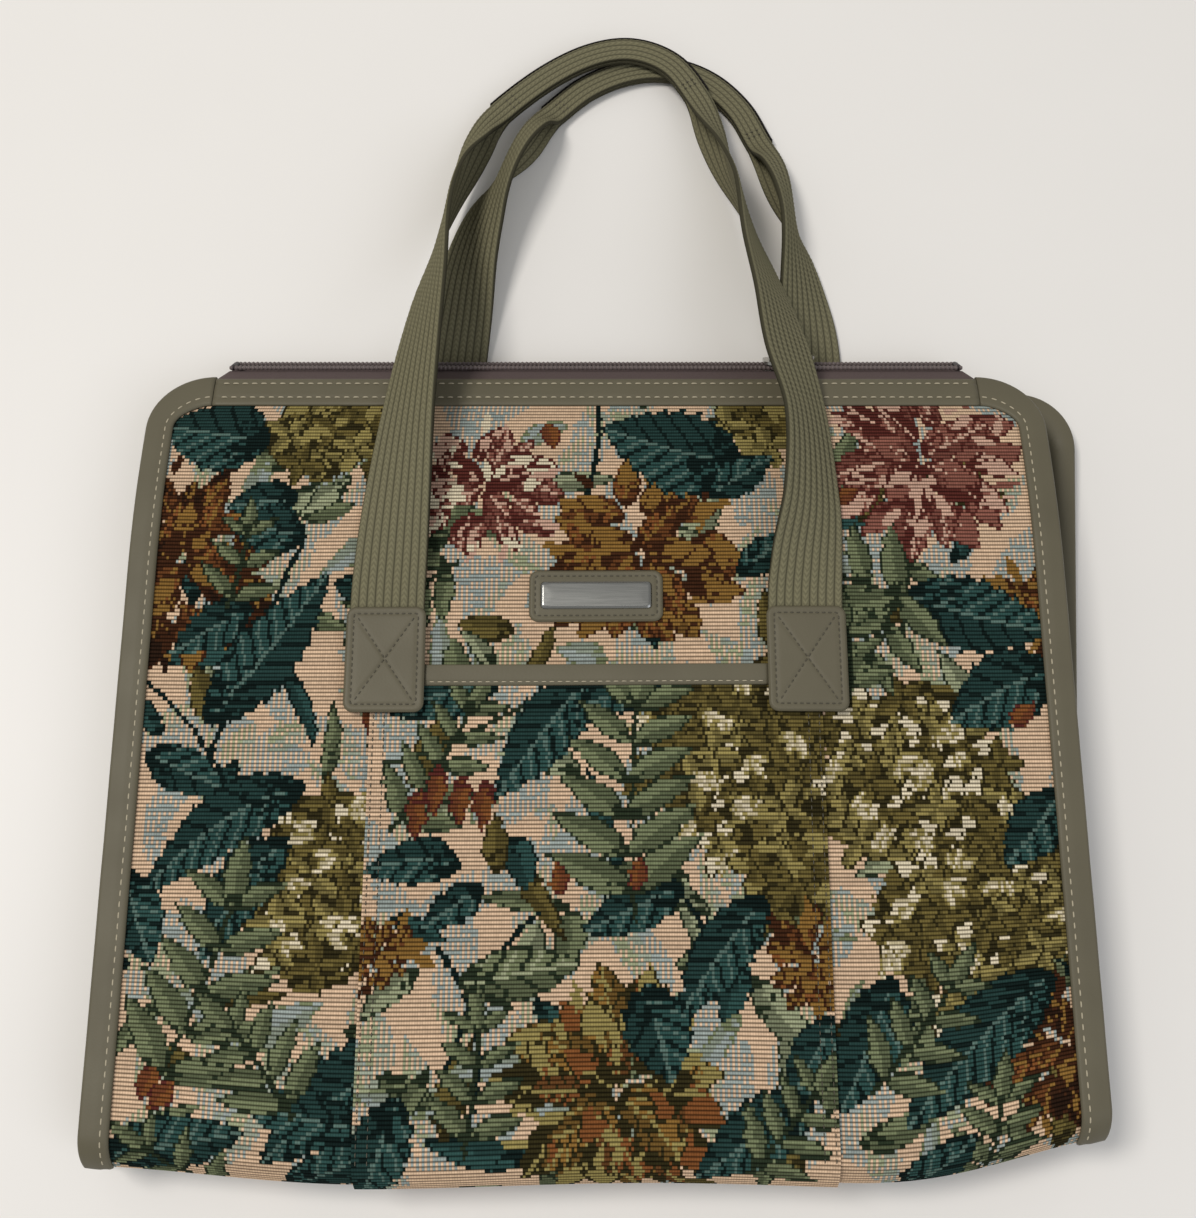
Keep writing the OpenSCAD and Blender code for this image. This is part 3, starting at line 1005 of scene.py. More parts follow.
# Dark, middle and light yarn of each kind of leaf and flower
TEAL = (Yarn.TEAL_DARK, Yarn.TEAL, Yarn.TEAL_LIGHT)
SAGE = (Yarn.SAGE_DARK, Yarn.SAGE, Yarn.SAGE_LIGHT)
OLIVE = (Yarn.OLIVE_DARK, Yarn.OLIVE, Yarn.OLIVE_LIGHT)
PALE = (Yarn.PALE, Yarn.PALE, Yarn.GROUND)
RUST = (Yarn.RUST_DARK, Yarn.RUST, Yarn.GOLD)
ROSE = (Yarn.BURGUNDY, Yarn.ROSE, Yarn.PINK)
BUD = (Yarn.BURGUNDY, Yarn.RUST, Yarn.ROSE)
# Turn in radians from one floret to the next that spreads them evenly over a disc
GOLDEN_TURN = 2.39996


@dataclass
class Canvas:
    """Cells of the weave: where each lies, its colour and its own random number."""

    # How far a rib is shifted along itself in mm, and the cells in a long and in a short run of weft
    DRIFT = 0.45
    RUNS = (6, 3)
    x: Array
    y: Array
    rgb: Array
    chance: Array

    @classmethod
    def blank(cls, x: Array, y: Array, seed: int) -> "Canvas":
        """Cells all of ground, each rib shifted a little, with random numbers that hold for runs of weft.

        Args:
            x: rows by columns of places across.
            y: the places along.
            seed: for the random numbers.

        Returns:
            The canvas.
        """
        random = np.random.default_rng(seed)
        rows, columns = x.shape
        drift = random.normal(0, cls.DRIFT, (rows, 1))
        rgb = np.broadcast_to(Yarn.GROUND.rgb, (*x.shape, 3)).copy()
        long, short = (
            np.repeat(random.random((rows, columns // run + 1)), run, axis=1)[:, :columns] for run in cls.RUNS
        )
        return cls(x + drift, y, rgb, np.where(random.random((rows, 1)) < 0.5, long, short))

    def near(self, x: float, y: float, reach: float) -> tuple[Indices, Indices]:
        """Cells within reach of a place.

        Args:
            x: across.
            y: along.
            reach: how far, in mm.

        Returns:
            Row and column numbers.
        """
        return np.nonzero((np.abs(self.x - x) < reach) & (np.abs(self.y - y) < reach))


@dataclass(frozen=True)
class Lens:
    """A leaf or petal: its half width is the sine of the way along it, with teeth, veins and a lit side."""

    # Spacing of the teeth, half width of the midrib and width of the dark rim, in mm
    TOOTH = 7.5
    MIDRIB = 0.75
    RIM = 0.9
    # Shares of the veins' spacing: the dark vein, and half of the lit line between two veins
    DARK_VEIN = 0.19
    LIT_VEIN = 0.08
    # A leaf no longer than this has no shaded foot, in mm
    SHORT = 16.0

    x: float
    y: float
    angle: float
    length: float
    width: float
    dark: Yarn
    mid: Yarn
    light: Yarn
    teeth: float = 0.0
    vein: float = 0.0
    bend: float = 0.0
    tip: Yarn | None = None
    mesh: bool = False
    # How far up the leaf its shaded foot reaches
    foot: float = 0.4

    def paint(self, canvas: Canvas) -> None:
        """Lays the shape on the cells: two halves of a leaf, its veins, its edge and a shaded foot.

        Args:
            canvas: the weave.
        """
        at = canvas.near(self.x, self.y, self.length * 1.15 + 4)
        dx, dy = canvas.x[at] - self.x, canvas.y[at] - self.y
        c, s = math.cos(math.radians(self.angle)), math.sin(math.radians(self.angle))
        a, b = dx * c + dy * s, dy * c - dx * s
        t = np.clip(a / self.length, 0, 1)
        b = b - self.bend * self.length * (t * t - t * 0.3)
        half = self.width / 2 * np.sin(np.pi * t**0.8) ** 0.85
        half = half * (1 - self.teeth * ((a / self.TOOTH) % 1))
        chance = canvas.chance[at]
        inside = (a > 0) & (a < self.length) & (np.abs(b) < half)
        if self.mesh:
            inside &= (at[1] % 2 == 0) | (chance < 0.3)
        rgb = np.where((b > 0)[:, None], self.mid.rgb, (0.5 * self.mid.rgb + 0.5 * self.dark.rgb))
        if self.vein > 0:
            side = (a - 0.9 * np.abs(b)) % self.vein
            rgb = np.where((side < self.DARK_VEIN * self.vein)[:, None], self.dark.rgb, rgb)
            lit = (np.abs(side / self.vein - 0.5) < self.LIT_VEIN) & (b > 0) & (t > 0.2)
            rgb = np.where(lit[:, None], self.light.rgb, rgb)
            rgb = np.where((np.abs(b) < self.MIDRIB)[:, None], self.light.rgb, rgb)
        if self.length > self.SHORT:
            rgb = np.where((chance * self.foot > t)[:, None], self.dark.rgb, rgb)
        if self.tip is not None:
            lit = (t > 0.28 + 0.3 * chance) & (np.abs(b) < half * 0.8)
            rgb = np.where(lit[:, None], self.tip.rgb, rgb)
        edge = np.abs(b) > half - self.RIM
        rgb = np.where((edge & (chance < 0.8))[:, None], self.dark.rgb, rgb)
        canvas.rgb[at[0][inside], at[1][inside]] = rgb[inside]


@dataclass(frozen=True)
class Stem:
    """A thin curved stem between three places."""

    start: tuple[float, float]
    middle: tuple[float, float]
    end: tuple[float, float]
    width: float
    yarn: Yarn

    def paint(self, canvas: Canvas) -> None:
        """Lays the stem on the cells: each cell's distance from the nearest of 60 places on the curve.

        Args:
            canvas: the weave.
        """
        t = np.linspace(0, 1, 60)[:, None]
        p0, p1, p2 = (np.array(p) for p in (self.start, self.middle, self.end))
        line = (1 - t) ** 2 * p0 + 2 * t * (1 - t) * p1 + t**2 * p2
        centre = line.mean(axis=0)
        reach = float(np.abs(line - centre).max()) + 5
        at = canvas.near(float(centre[0]), float(centre[1]), reach)
        gap = np.hypot(canvas.x[at][:, None] - line[:, 0], canvas.y[at][:, None] - line[:, 1]).min(axis=1)
        inside = gap < self.width / 2
        canvas.rgb[at[0][inside], at[1][inside]] = self.yarn.rgb


@dataclass(frozen=True)
class Spray:
    """A pinnate spray: leaflets in pairs along a curved stem, with one at its tip."""

    x: float
    y: float
    angle: float
    length: float
    pairs: int
    leaf: float
    curl: float = 18.0
    # Degrees from the stem to a leaflet, its width over its length, its curve, and its shaded foot
    SPREAD = 52.0
    SLIM = 0.36
    CURVE = 0.15
    FOOT = 0.25

    def paint(self, canvas: Canvas) -> None:
        """Lays the stem and leaflets.

        Args:
            canvas: the weave.
        """
        ways = np.linspace(0.12, 1, self.pairs)
        turns = self.angle + self.curl * ways
        bearing = np.radians(self.angle + self.curl * ways / 2)
        xs = self.x + self.length * ways * np.cos(bearing)
        ys = self.y + self.length * ways * np.sin(bearing)
        middle = self.pairs // 2
        Stem((self.x, self.y), (xs[middle], ys[middle]), (xs[-1], ys[-1]), 2.2, SAGE[0]).paint(canvas)
        for x, y, turn, way in zip(xs, ys, turns, ways):
            size = self.leaf * (1.05 - 0.35 * way)
            for sign in (-1, 1):
                out, bend = turn + sign * self.SPREAD, self.CURVE * sign
                Lens(x, y, out, size, size * self.SLIM, *SAGE, bend=bend, foot=self.FOOT).paint(canvas)
        size = self.leaf * 0.85
        Lens(xs[-1], ys[-1], turns[-1], size, self.leaf * 0.32, *SAGE, foot=self.FOOT).paint(canvas)


@dataclass(frozen=True)
class Bloom:
    """A full flower: rings of petals from the outside in, each a little turned and of its own tone."""

    x: float
    y: float
    radius: float
    dark: Yarn
    mid: Yarn
    light: Yarn
    accent: Yarn
    seed: int
    stretch: float = 1.0
    # Rings of petals: share of the radius at which they start, and how many
    RINGS = ((0.5, 13), (0.38, 11), (0.22, 8), (0.04, 6))

    def paint(self, canvas: Canvas) -> None:
        """Lays the petals.

        Args:
            canvas: the weave.
        """
        random = np.random.default_rng(self.seed)
        for share, count in self.RINGS:
            for k in range(count):
                turn = 360 * (k + random.uniform(-0.35, 0.35)) / count + share * 200
                c, s = math.cos(math.radians(turn)), math.sin(math.radians(turn))
                x = self.x + self.radius * share * c
                y = self.y + self.radius * share * s * self.stretch
                size = self.radius * random.uniform(0.42, 0.6)
                body = [self.mid, self.mid, self.accent, self.dark][int(random.integers(4))]
                tip = [None, None, self.light, self.accent][int(random.integers(4))]
                lean = turn + random.uniform(-40, 40)
                width = size * random.uniform(0.45, 0.7)
                vein = random.uniform(5, 8)
                Lens(x, y, lean, size, width, self.dark, body, self.light, vein=vein, tip=tip).paint(canvas)
        for _ in range(int(0.6 * self.radius)):
            turn, away = random.uniform(0, 360), self.radius * 0.85 * math.sqrt(random.random())
            c, s = math.cos(math.radians(turn)), math.sin(math.radians(turn))
            size = random.uniform(7, 14)
            tone = [self.light, self.light, self.accent, self.dark][int(random.integers(4))]
            x, y = self.x + away * c, self.y + away * s * self.stretch
            Lens(x, y, turn + random.uniform(-50, 50), size, size * 0.36, tone, tone, tone).paint(canvas)


@dataclass(frozen=True)
class Cluster:
    """A hydrangea-like head: florets of four petals over a rough dark disc."""

    x: float
    y: float
    radius: float
    bright: Yarn
    seed: int
    bright_share: float

    def paint(self, canvas: Canvas) -> None:
        """Lays the disc and then the florets.

        Args:
            canvas: the weave.
        """
        random = np.random.default_rng(self.seed)
        at = canvas.near(self.x, self.y, self.radius * 1.2)
        dx, dy = canvas.x[at] - self.x, canvas.y[at] - self.y
        lobes = 0.09 * np.sin(5 * np.arctan2(dy, dx) + self.seed)
        ragged = self.radius * (0.9 + lobes + 0.08 * canvas.chance[at])
        inside = np.hypot(dx, dy) < ragged
        mottle = np.sin(dx / 4.3 + 0.4 * dy) + np.sin(dy / 3.1 - 0.3 * dx) + 0.5 * canvas.chance[at]
        dark, middle, light = OLIVE
        ground = np.where((mottle < 0.4)[:, None], dark.rgb, middle.rgb)
        canvas.rgb[at[0][inside], at[1][inside]] = ground[inside]
        count = int(0.014 * self.radius**2)
        turns = np.arange(count) * GOLDEN_TURN
        spread = np.sqrt((np.arange(count) + 0.5) / count)
        ways = 0.95 * self.radius * spread * random.uniform(0.85, 1.1, count)
        for k in random.permutation(count):
            x, y = self.x + ways[k] * math.cos(turns[k]), self.y + ways[k] * math.sin(turns[k])
            lit = random.random() < self.bright_share
            tone = OLIVE[1 + int(random.integers(2))]
            first = random.uniform(0, 90)
            for quarter in range(4):
                size = random.uniform(11, 15)
                tip = self.bright if lit and quarter < 3 else None
                Lens(x, y, first + 90 * quarter, size, size * 0.6, dark, tone, light, tip=tip).paint(canvas)
        for _ in range(int(self.bright_share * 0.022 * self.radius**2)):
            turn, away = random.uniform(0, 360), self.radius * math.sqrt(random.random())
            x, y = self.x + away * math.cos(turn), self.y + away * math.sin(turn)
            for fan in range(int(random.integers(2, 4))):
                size = random.uniform(8, 13)
                Lens(x, y, turn + 42 * fan, size, size * 0.42, light, self.bright, self.bright).paint(canvas)


Motif = Lens | Stem | Spray | Bloom | Cluster


def broad(x: float, y: float, angle: float, length: float, width: float, bend: float = 0.0) -> Lens:
    """A broad serrated teal leaf.

    Args:
        x: its stalk, across.
        y: its stalk, along.
        angle: where it points, in degrees.
        length: its length.
        width: its width.
        bend: how far it curves.

    Returns:
        The leaf.
    """
    return Lens(x, y, angle, length, width, *TEAL, teeth=0.16, vein=10.5, bend=bend)


def undergrowth(seed: int, count: int, width: float, top: float) -> list[Lens]:
    """Dull leaves strewn over the ground behind the flowers.

    Args:
        seed: for their places.
        count: how many.
        width: of the cloth.
        top: its upper edge.

    Returns:
        The leaves.
    """
    random = np.random.default_rng(seed)
    soft, faded = (Yarn.SAGE_DARK, Yarn.SAGE_LIGHT, Yarn.PALE), (Yarn.SAGE, Yarn.PALE, Yarn.GROUND)
    tones = (SAGE, soft, OLIVE, TEAL, faded, SAGE)
    place = np.stack([random.uniform(-width / 2, width / 2, count), random.uniform(-195, top, count)], axis=1)
    leaves = [
        Lens(float(x), float(y), random.uniform(0, 360), random.uniform(22, 46), random.uniform(8, 15),
             *tones[int(random.integers(len(tones)))], bend=random.uniform(-0.3, 0.3))
        for x, y in place
    ]
    shadows = [
        Lens(float(x), float(y), random.uniform(30, 150), random.uniform(24, 52), random.uniform(9, 17),
             Yarn.PALE, (Yarn.PALE, Yarn.SAGE_LIGHT)[k % 2], Yarn.PALE,
             bend=random.uniform(-0.3, 0.3), mesh=True)
        for k, (x, y) in enumerate(random.uniform((-width / 2, -195), (width / 2, top), (2 * count, 2)))
    ]
    return shadows + leaves


def panel_motifs() -> list[Motif]:
    """The flowers and leaves of the front panel, from the back of the picture to its front.

    Returns:
        The motifs.
    """
    return [
        *[Lens(x, y, a, 46, 17, *PALE, mesh=True) for x, y, a in (
            (-118, 122, 250), (-150, 60, 200), (-112, 70, 300), (-60, 150, 30), (0, 160, 260), (60, 128, 230),
            (112, 150, 290), (125, 100, 200), (110, 35, 120), (190, 95, 250), (-190, -5, 40), (-120, -5, 200),
            (-190, -75, 300), (120, -110, 240), (185, -80, 80), (-150, -150, 20), (100, -150, 160),
            (-30, 80, 200))],
        *undergrowth(41, 130, S.panel_w, 170),
        *[Stem(*row) for row in (
            ((-163, -5), (-150, 40), (-128, 92), 2.4, TEAL[0]),
            ((-196, 30), (-170, 10), (-150, -25), 2.0, TEAL[0]),
            ((0, 168), (4, 140), (-6, 105), 2.4, TEAL[0]),
            ((134, 40), (128, 70), (150, 100), 2.2, SAGE[0]),
            ((-140, -20), (-112, -40), (-98, -80), 2.2, SAGE[0]),
            ((160, -5), (172, -60), (196, -110), 2.2, TEAL[0]))],
        Cluster(-124, 146, 26, Yarn.OLIVE_LIGHT, 3, 0.35),
        Cluster(76, 152, 20, Yarn.OLIVE_LIGHT, 4, 0.3),
        Bloom(-50, 116, 36, *ROSE, Yarn.CREAM, 11),
        Bloom(146, 130, 47, *ROSE, Yarn.ROSE, 12),
        Bloom(20, 84, 46, *RUST, Yarn.GOLD, 13),
        Bloom(-181, 82, 46, *RUST, Yarn.BROWN, 14, 1.15),
        Bloom(196, 60, 22, *RUST, Yarn.GOLD, 15),
        Bloom(188, -132, 36, *RUST, Yarn.BROWN, 16),
        Cluster(132, -14, 42, Yarn.CREAM, 21, 0.4),
        Cluster(158, -66, 46, Yarn.CREAM, 22, 0.32),
        Cluster(-110, -62, 40, Yarn.CREAM, 23, 0.38),
        *[broad(*row) for row in (
            (-148, 138, 165, 50, 42, 0.1), (66, 128, 168, 66, 48, -0.12), (-132, 112, 190, 32, 22),
            (-128, 92, 165, 34, 26, 0.1), (-166, 8, 52, 84, 32, 0.05), (-150, 62, 215, 40, 22),
            (50, 112, 35, 36, 20), (62, 74, 40, 30, 17), (134, 66, -20, 66, 36, 0.12),
            (196, 34, 205, 52, 36, 0.1), (-190, -4, -25, 40, 22), (-122, -18, 200, 78, 30, 0.4),
            (-128, -40, 225, 60, 26, 0.3), (-196, -52, -70, 44, 26), (-70, -118, 215, 80, 34, 0.1),
            (-92, -154, 170, 50, 24), (186, -100, 215, 84, 36, 0.15), (120, -96, 250, 58, 30, -0.1),
            (196, -20, 230, 42, 26))],
        Spray(-178, -146, 58, 82, 5, 36, curl=24),
        Spray(136, 62, 150, 34, 3, 34),
        Spray(132, 70, -105, 32, 3, 32, curl=-20),
        *[Spray(*row) for row in (
            (-60, 80, 205, 40, 4, 26), (-160, 60, 70, 34, 3, 22), (-120, -150, 120, 40, 4, 28),
            (110, -140, 40, 50, 4, 26), (108, 20, 80, 30, 3, 22))],
        broad(-196, -172, 15, 60, 26),
        broad(-124, -182, 30, 48, 22),
        Spray(150, -190, 65, 40, 4, 26),
        broad(120, -186, 40, 40, 24),
        Spray(-150, -190, 130, 34, 3, 24),
        *[Lens(x, y, a, 15, 9, *BUD) for x, y, a in (
            (-176, -134, 250), (-168, -140, 230), (-94, 18, 260), (104, 108, 30), (-22, 150, 280),
            (176, 8, 40))],
    ]


def pocket_motifs() -> list[Motif]:
    """The flowers and leaves of the pocket.

    Returns:
        The motifs.
    """
    return [
        *[Lens(x, y, a, 46, 17, *PALE, mesh=True) for x, y, a in (
            (-70, 10, 250), (-20, -40, 220), (-60, -110, 80), (60, -120, 250), (70, -140, 60),
            (-30, -150, 200), (20, 20, 300), (-84, -60, 270), (-10, -80, 30), (90, -60, 250))],
        *undergrowth(42, 48, S.pocket_w, 30),
        *[Stem(*row) for row in (
            ((-88, -8), (-52, 4), (-8, 30), 2.2, SAGE[0]),
            ((-64, -84), (-40, -110), (-50, -150), 2.4, TEAL[0]),
            ((-24, -70), (-44, -84), (-60, -130), 2.2, TEAL[0]),
            ((34, -60), (60, -90), (30, -120), 2.2, TEAL[0]))],
        Cluster(66, 0, 46, Yarn.CREAM, 31, 0.42),
        Cluster(84, -48, 26, Yarn.OLIVE_LIGHT, 32, 0.3),
        Bloom(90, -88, 22, *RUST, Yarn.GOLD, 33),
        Bloom(8, -140, 48, Yarn.OLIVE_DARK, Yarn.GOLD, Yarn.OLIVE_LIGHT, Yarn.RUST, 34),
        Bloom(-88, -84, 16, *RUST, Yarn.GOLD, 35),
        *[broad(*row) for row in (
            (-40, 30, 195, 50, 26, 0.1), (2, 34, 228, 72, 30, 0.1), (30, 30, 200, 40, 20),
            (-56, -50, 170, 40, 22, 0.35), (-46, -58, 215, 32, 16), (36, -58, 205, 46, 22),
            (70, -62, 230, 62, 26, 0.1), (20, -98, 285, 40, 30), (86, -140, 215, 58, 28),
            (-78, -140, 250, 50, 26), (96, -110, 240, 40, 22))],
        Lens(-56, -98, 10, 52, 22, *SAGE, vein=12.0),
        Spray(16, -72, 100, 88, 6, 38, curl=-22),
        *[Spray(*row) for row in (
            (-86, -36, 48, 60, 5, 26), (-52, -162, 75, 46, 4, 24), (60, -170, 40, 40, 4, 24))],
        *[Lens(x, y, 265, 22, 9, *BUD) for x, y in ((-66, -8), (-56, -12), (-46, -14), (-74, -18))],
        *[Lens(x, y, a, 14, 8, *BUD) for x, y, a in ((-14, -62, 100), (16, -60, 80))],
    ]


# Stitches


@dataclass(frozen=True)
class StitchRow:
    """A row of thread stitches along a line, each a bead that dives into the cloth at its ends."""

    pitch: float
    share: float
    radius: float
    # Rings along a stitch, places round each, and how far before and behind its direction is taken, in mm
    RINGS = 7
    SIDES = 6
    LOOK = 0.8

    def points(self, line: Array, up: Sequence[float]) -> tuple[Array, Indices]:
        """Beads along a line: rings of ellipses that shrink and sink towards both ends.

        Args:
            line: N places in mm on the surface.
            up: the direction out of the surface.

        Returns:
            Places and quads of all the beads.
        """
        length = along(line)
        count = max(2, int(length[-1] / self.pitch))
        at = (np.arange(count) + 0.5) * length[-1] / count
        middle, ahead, behind = [
            np.stack([np.interp(at + d, length, line[:, k]) for k in range(3)], axis=1)
            for d in (0, self.LOOK, -self.LOOK)
        ]
        out = np.asarray(up, float)
        t = unit(ahead - behind)
        n = unit(out - t * (out * t).sum(1, keepdims=True))
        b = np.cross(t, n)
        a = np.linspace(-1, 1, self.RINGS)
        size = self.radius * (1 - a**4 * 0.97) ** 0.5
        turn = np.linspace(0, 2 * np.pi, self.SIDES, endpoint=False)
        sit = self.radius * (0.55 - 1.1 * a**4)
        reach = self.pitch * self.share / 2
        place = (
            middle[:, None, None]
            + t[:, None, None] * (a * reach)[None, :, None, None]
            + b[:, None, None] * (size[:, None] * np.cos(turn))[None, :, :, None]
            + n[:, None, None] * (sit[:, None] + size[:, None] * np.sin(turn) * 0.85)[None, :, :, None]
        )
        return place.reshape(-1, 3), bead_faces(self.RINGS, self.SIDES, count)


def sew(name: str, lines: Sequence[Array], up: Sequence[float], style: StitchRow, thread: Material) -> None:
    """Makes one object of several rows of stitches, riding on the bag.

    Args:
        name: the object's name.
        lines: the rows, each of places in mm.
        up: the direction out of the surface.
        style: the stitches.
        thread: its finish.
    """
    places, faces, base = [], [], 0
    for line in lines:
        place, quads = style.points(line, up)
        places.append(place)
        faces.append(quads + base)
        base += len(place)
    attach(make_object(name, np.concatenate(places), np.concatenate(faces), thread), "bag")


# Sub-assemblies


@dataclass
class Assembly:
    """A group of pieces, with the finishes they are made in."""

    finishes: Finishes


@dataclass
class TapestryCloth(Assembly):
    """One tapestry panel: a plain closed cloth, and a woven face of weft ribs over it."""

    name: str
    profile: Profile
    layer: Layer
    motifs: list[Motif]
    columns: int
    seed: int
    lift: float = 0.0
    width: float = S.panel_w
    relief: float = 0.2
    half_ribs: int = 2
    # Half width and upper edge of what another piece covers, in mm
    covered: tuple[float, float] = (0.0, 0.0)
    pieces: int = 1
    # How far the plain cloth and the grooves of the weave lie under the outer face, in mm
    CLOTH_DEPTH = 0.35
    WEAVE_DEPTH = 0.15

    def place(self, u: Array, v: Array, lift: Array) -> Array:
        """Places on the cloth.

        Args:
            u: from -1 to 1 across.
            v: length from the top edge.
            lift: distance off the outer face.

        Returns:
            Places in mm.
        """
        yz = self.profile.at(v, lift)
        across = np.minimum(half_width(self.profile.at(v, np.zeros_like(v))[..., 0]), self.width / 2)
        x = u * across
        if self.layer is Layer.REAR:
            x = x + rear_slide(yz[..., 0])
        return Drape.settle(x, yz[..., 0], yz[..., 1], self.layer)

    def build(self) -> None:
        """Makes the cloth and its woven face."""
        u, v = np.meshgrid(np.linspace(-1, 1, 80), np.linspace(0, self.profile.total, 90))
        outer = self.place(u, v, np.full_like(u, self.lift - self.CLOTH_DEPTH))
        inner = self.place(u, v, np.full_like(u, self.lift - S.cloth_t))
        cloth = make_sheet(f"{self.name}_cloth", outer, inner, self.finishes.backing)
        dress(cloth, self.name)
        woven = self.weave()

    def weave(self) -> list[Object]:
        """Makes the woven face: each weft rib rises between two grooves and each cell has one yarn's colour.

        Returns:
            Its pieces, from left to right.
        """
        ribs = int(self.profile.total / RIB)
        rows = np.arange(self.half_ribs * ribs + 1)
        u, v = np.meshgrid(np.linspace(-1, 1, self.columns + 1), rows * RIB / self.half_ribs)
        crest = self.relief * (rows % 2 if self.half_ribs == 2 else 0 * rows)
        lift = self.lift + np.broadcast_to(crest[:, None], u.shape) - self.WEAVE_DEPTH
        points = self.place(u, v, lift).reshape(-1, 3)
        uv = np.stack([u * self.width / 2, v], axis=-1).reshape(-1, 2)
        middles = (np.arange(self.columns) + 0.5) * 2 / self.columns - 1
        uc, vc = np.meshgrid(middles, (np.arange(ribs) + 0.5) * RIB)
        canvas = Canvas.blank(uc * self.width / 2, self.profile.points[0, 0] - vc, self.seed)
        for motif in self.motifs:
            motif.paint(canvas)
        random = np.random.default_rng(self.seed + 1)
        tone = random.uniform(0.88, 1.12, (ribs, 1)) * random.uniform(0.92, 1.08, uc.shape)
        cells = np.repeat(canvas.rgb * tone[..., None], self.half_ribs, axis=0).reshape(-1, 3)
        across = np.repeat(uc * self.width / 2, self.half_ribs, axis=0).reshape(-1)
        height = np.repeat(self.profile.points[0, 0] - vc, self.half_ribs, axis=0).reshape(-1)
        covered = (np.abs(across) < self.covered[0]) & (height < self.covered[1])
        face = grid_faces(len(rows), self.columns + 1)
        if self.layer is Layer.REAR:
            face = face[:, ::-1]
        share = np.floor((across / self.width + 0.5) * self.pieces)
        pieces = []
        for number in range(self.pieces):
            chosen = (share == number) & ~covered
            used, corners = np.unique(face[chosen], return_inverse=True)
            name = f"{self.name}_weave_{number + 1}"
            woven = make_object(name, points[used], corners.reshape(-1, 4), self.finishes.tapestry, uv[used],
                                cells[chosen], closed=False)
            pieces.append(dress(woven))
        return pieces


@dataclass
class Shell(Assembly):
    """The base and the two folded gussets."""

    # How far left the base lies in mm, half its turn round the nose in degrees, and the fold's wave in mm
    BASE_SHIFT = 1.5
    BASE_TURN = 42.0
    FOLD_WAVE = 2.5

    def build(self) -> None:
        """Makes the three cloths."""
        self.base()
        for side in Side:
            self.gusset(side)

    def base(self) -> None:
        """Makes the base inside the panels' turned edges."""
        line = Profile(nose_line(self.BASE_TURN, -self.BASE_TURN, 30))
        line.normal *= -1
        u, v = np.meshgrid(np.linspace(-1, 1, 60), np.linspace(0, line.total, 24))
        inset = S.cloth_t + S.gap
        grids = []
        for lift in (-inset, -inset - S.cloth_t):
            yz = line.at(v, np.full_like(v, lift))
            x = u * S.edge - self.BASE_SHIFT
            grids.append(Drape.settle(x, yz[..., 0], yz[..., 1], Layer.MIDDLE))
        cloth = make_sheet("base_panel_cloth", grids[0], grids[1], self.finishes.backing)
        dress(cloth, "base_panel")

    def gusset(self, side: Side) -> None:
        """Makes one gusset: a flange under each binding and a soft fold that tucks inwards.

        Args:
            side: left or right.
        """
        s = side.value
        inset = 2 * S.cloth_t + 3 * S.gap
        reach = S.nose_d - inset
        nose = S.nose_y - reach * np.array([0.9, 0.7, 0.45, 0.2])
        y = np.concatenate([nose, np.linspace(S.nose_y, S.top - S.corner_r, 60)])
        mid, half = (S.front_rise + S.rear_low) / 2, (S.front_rise - S.rear_low) / 2 - inset
        deep = np.clip((S.nose_y - y) / reach, 0, 0.99)
        arch = half * np.sqrt(1 - deep**2)
        blend = smoothstep(0, 0.45, deep)
        high = (front_z(y) - S.cloth_t - S.gap) * (1 - blend) + (mid + arch) * blend - S.gusset_t / 2
        low = (rear_z(y) + S.cloth_t + S.gap) * (1 - blend) + (mid - arch) * blend + S.gusset_t / 2
        flange = S.binding_w + S.hide_t
        front_x, rear_x = np.full_like(y, s * S.edge), s * S.edge + rear_slide(y)
        tuck = s * (S.edge - S.gusset_tuck) + (0 if s > 0 else S.rear_slip)
        fold = tuck + self.FOLD_WAVE * np.sin(y / 33 + s)
        front_in, rear_in = front_x - s * flange, rear_x - s * flange
        knots = [
            (front_x, high), (front_in, high), (0.5 * (front_in + fold), 0.62 * high + 0.38 * low),
            (fold, (high + low) / 2), (0.5 * (rear_in + fold), 0.38 * high + 0.62 * low),
            (rear_in, low), (rear_x, low),
        ]
        line = np.stack([np.stack(k, axis=-1) for k in knots], axis=0)
        curve = catmull(line.reshape(len(knots), -1), 5).reshape(-1, len(y), 2).transpose(1, 0, 2)
        tangent = unit(np.gradient(curve, axis=1))
        normal = np.stack([-tangent[..., 1], tangent[..., 0]], axis=-1) * S.gusset_t / 2
        grids = [
            Drape.settle(p[..., 0], y[:, None], p[..., 1], Layer.MIDDLE)
            for p in (curve + normal, curve - normal)
        ]
        name = f"{side.name.lower()}_gusset"
        cloth = make_sheet(f"{name}_cloth", grids[0], grids[1], self.finishes.gusset)
        dress(cloth, name)


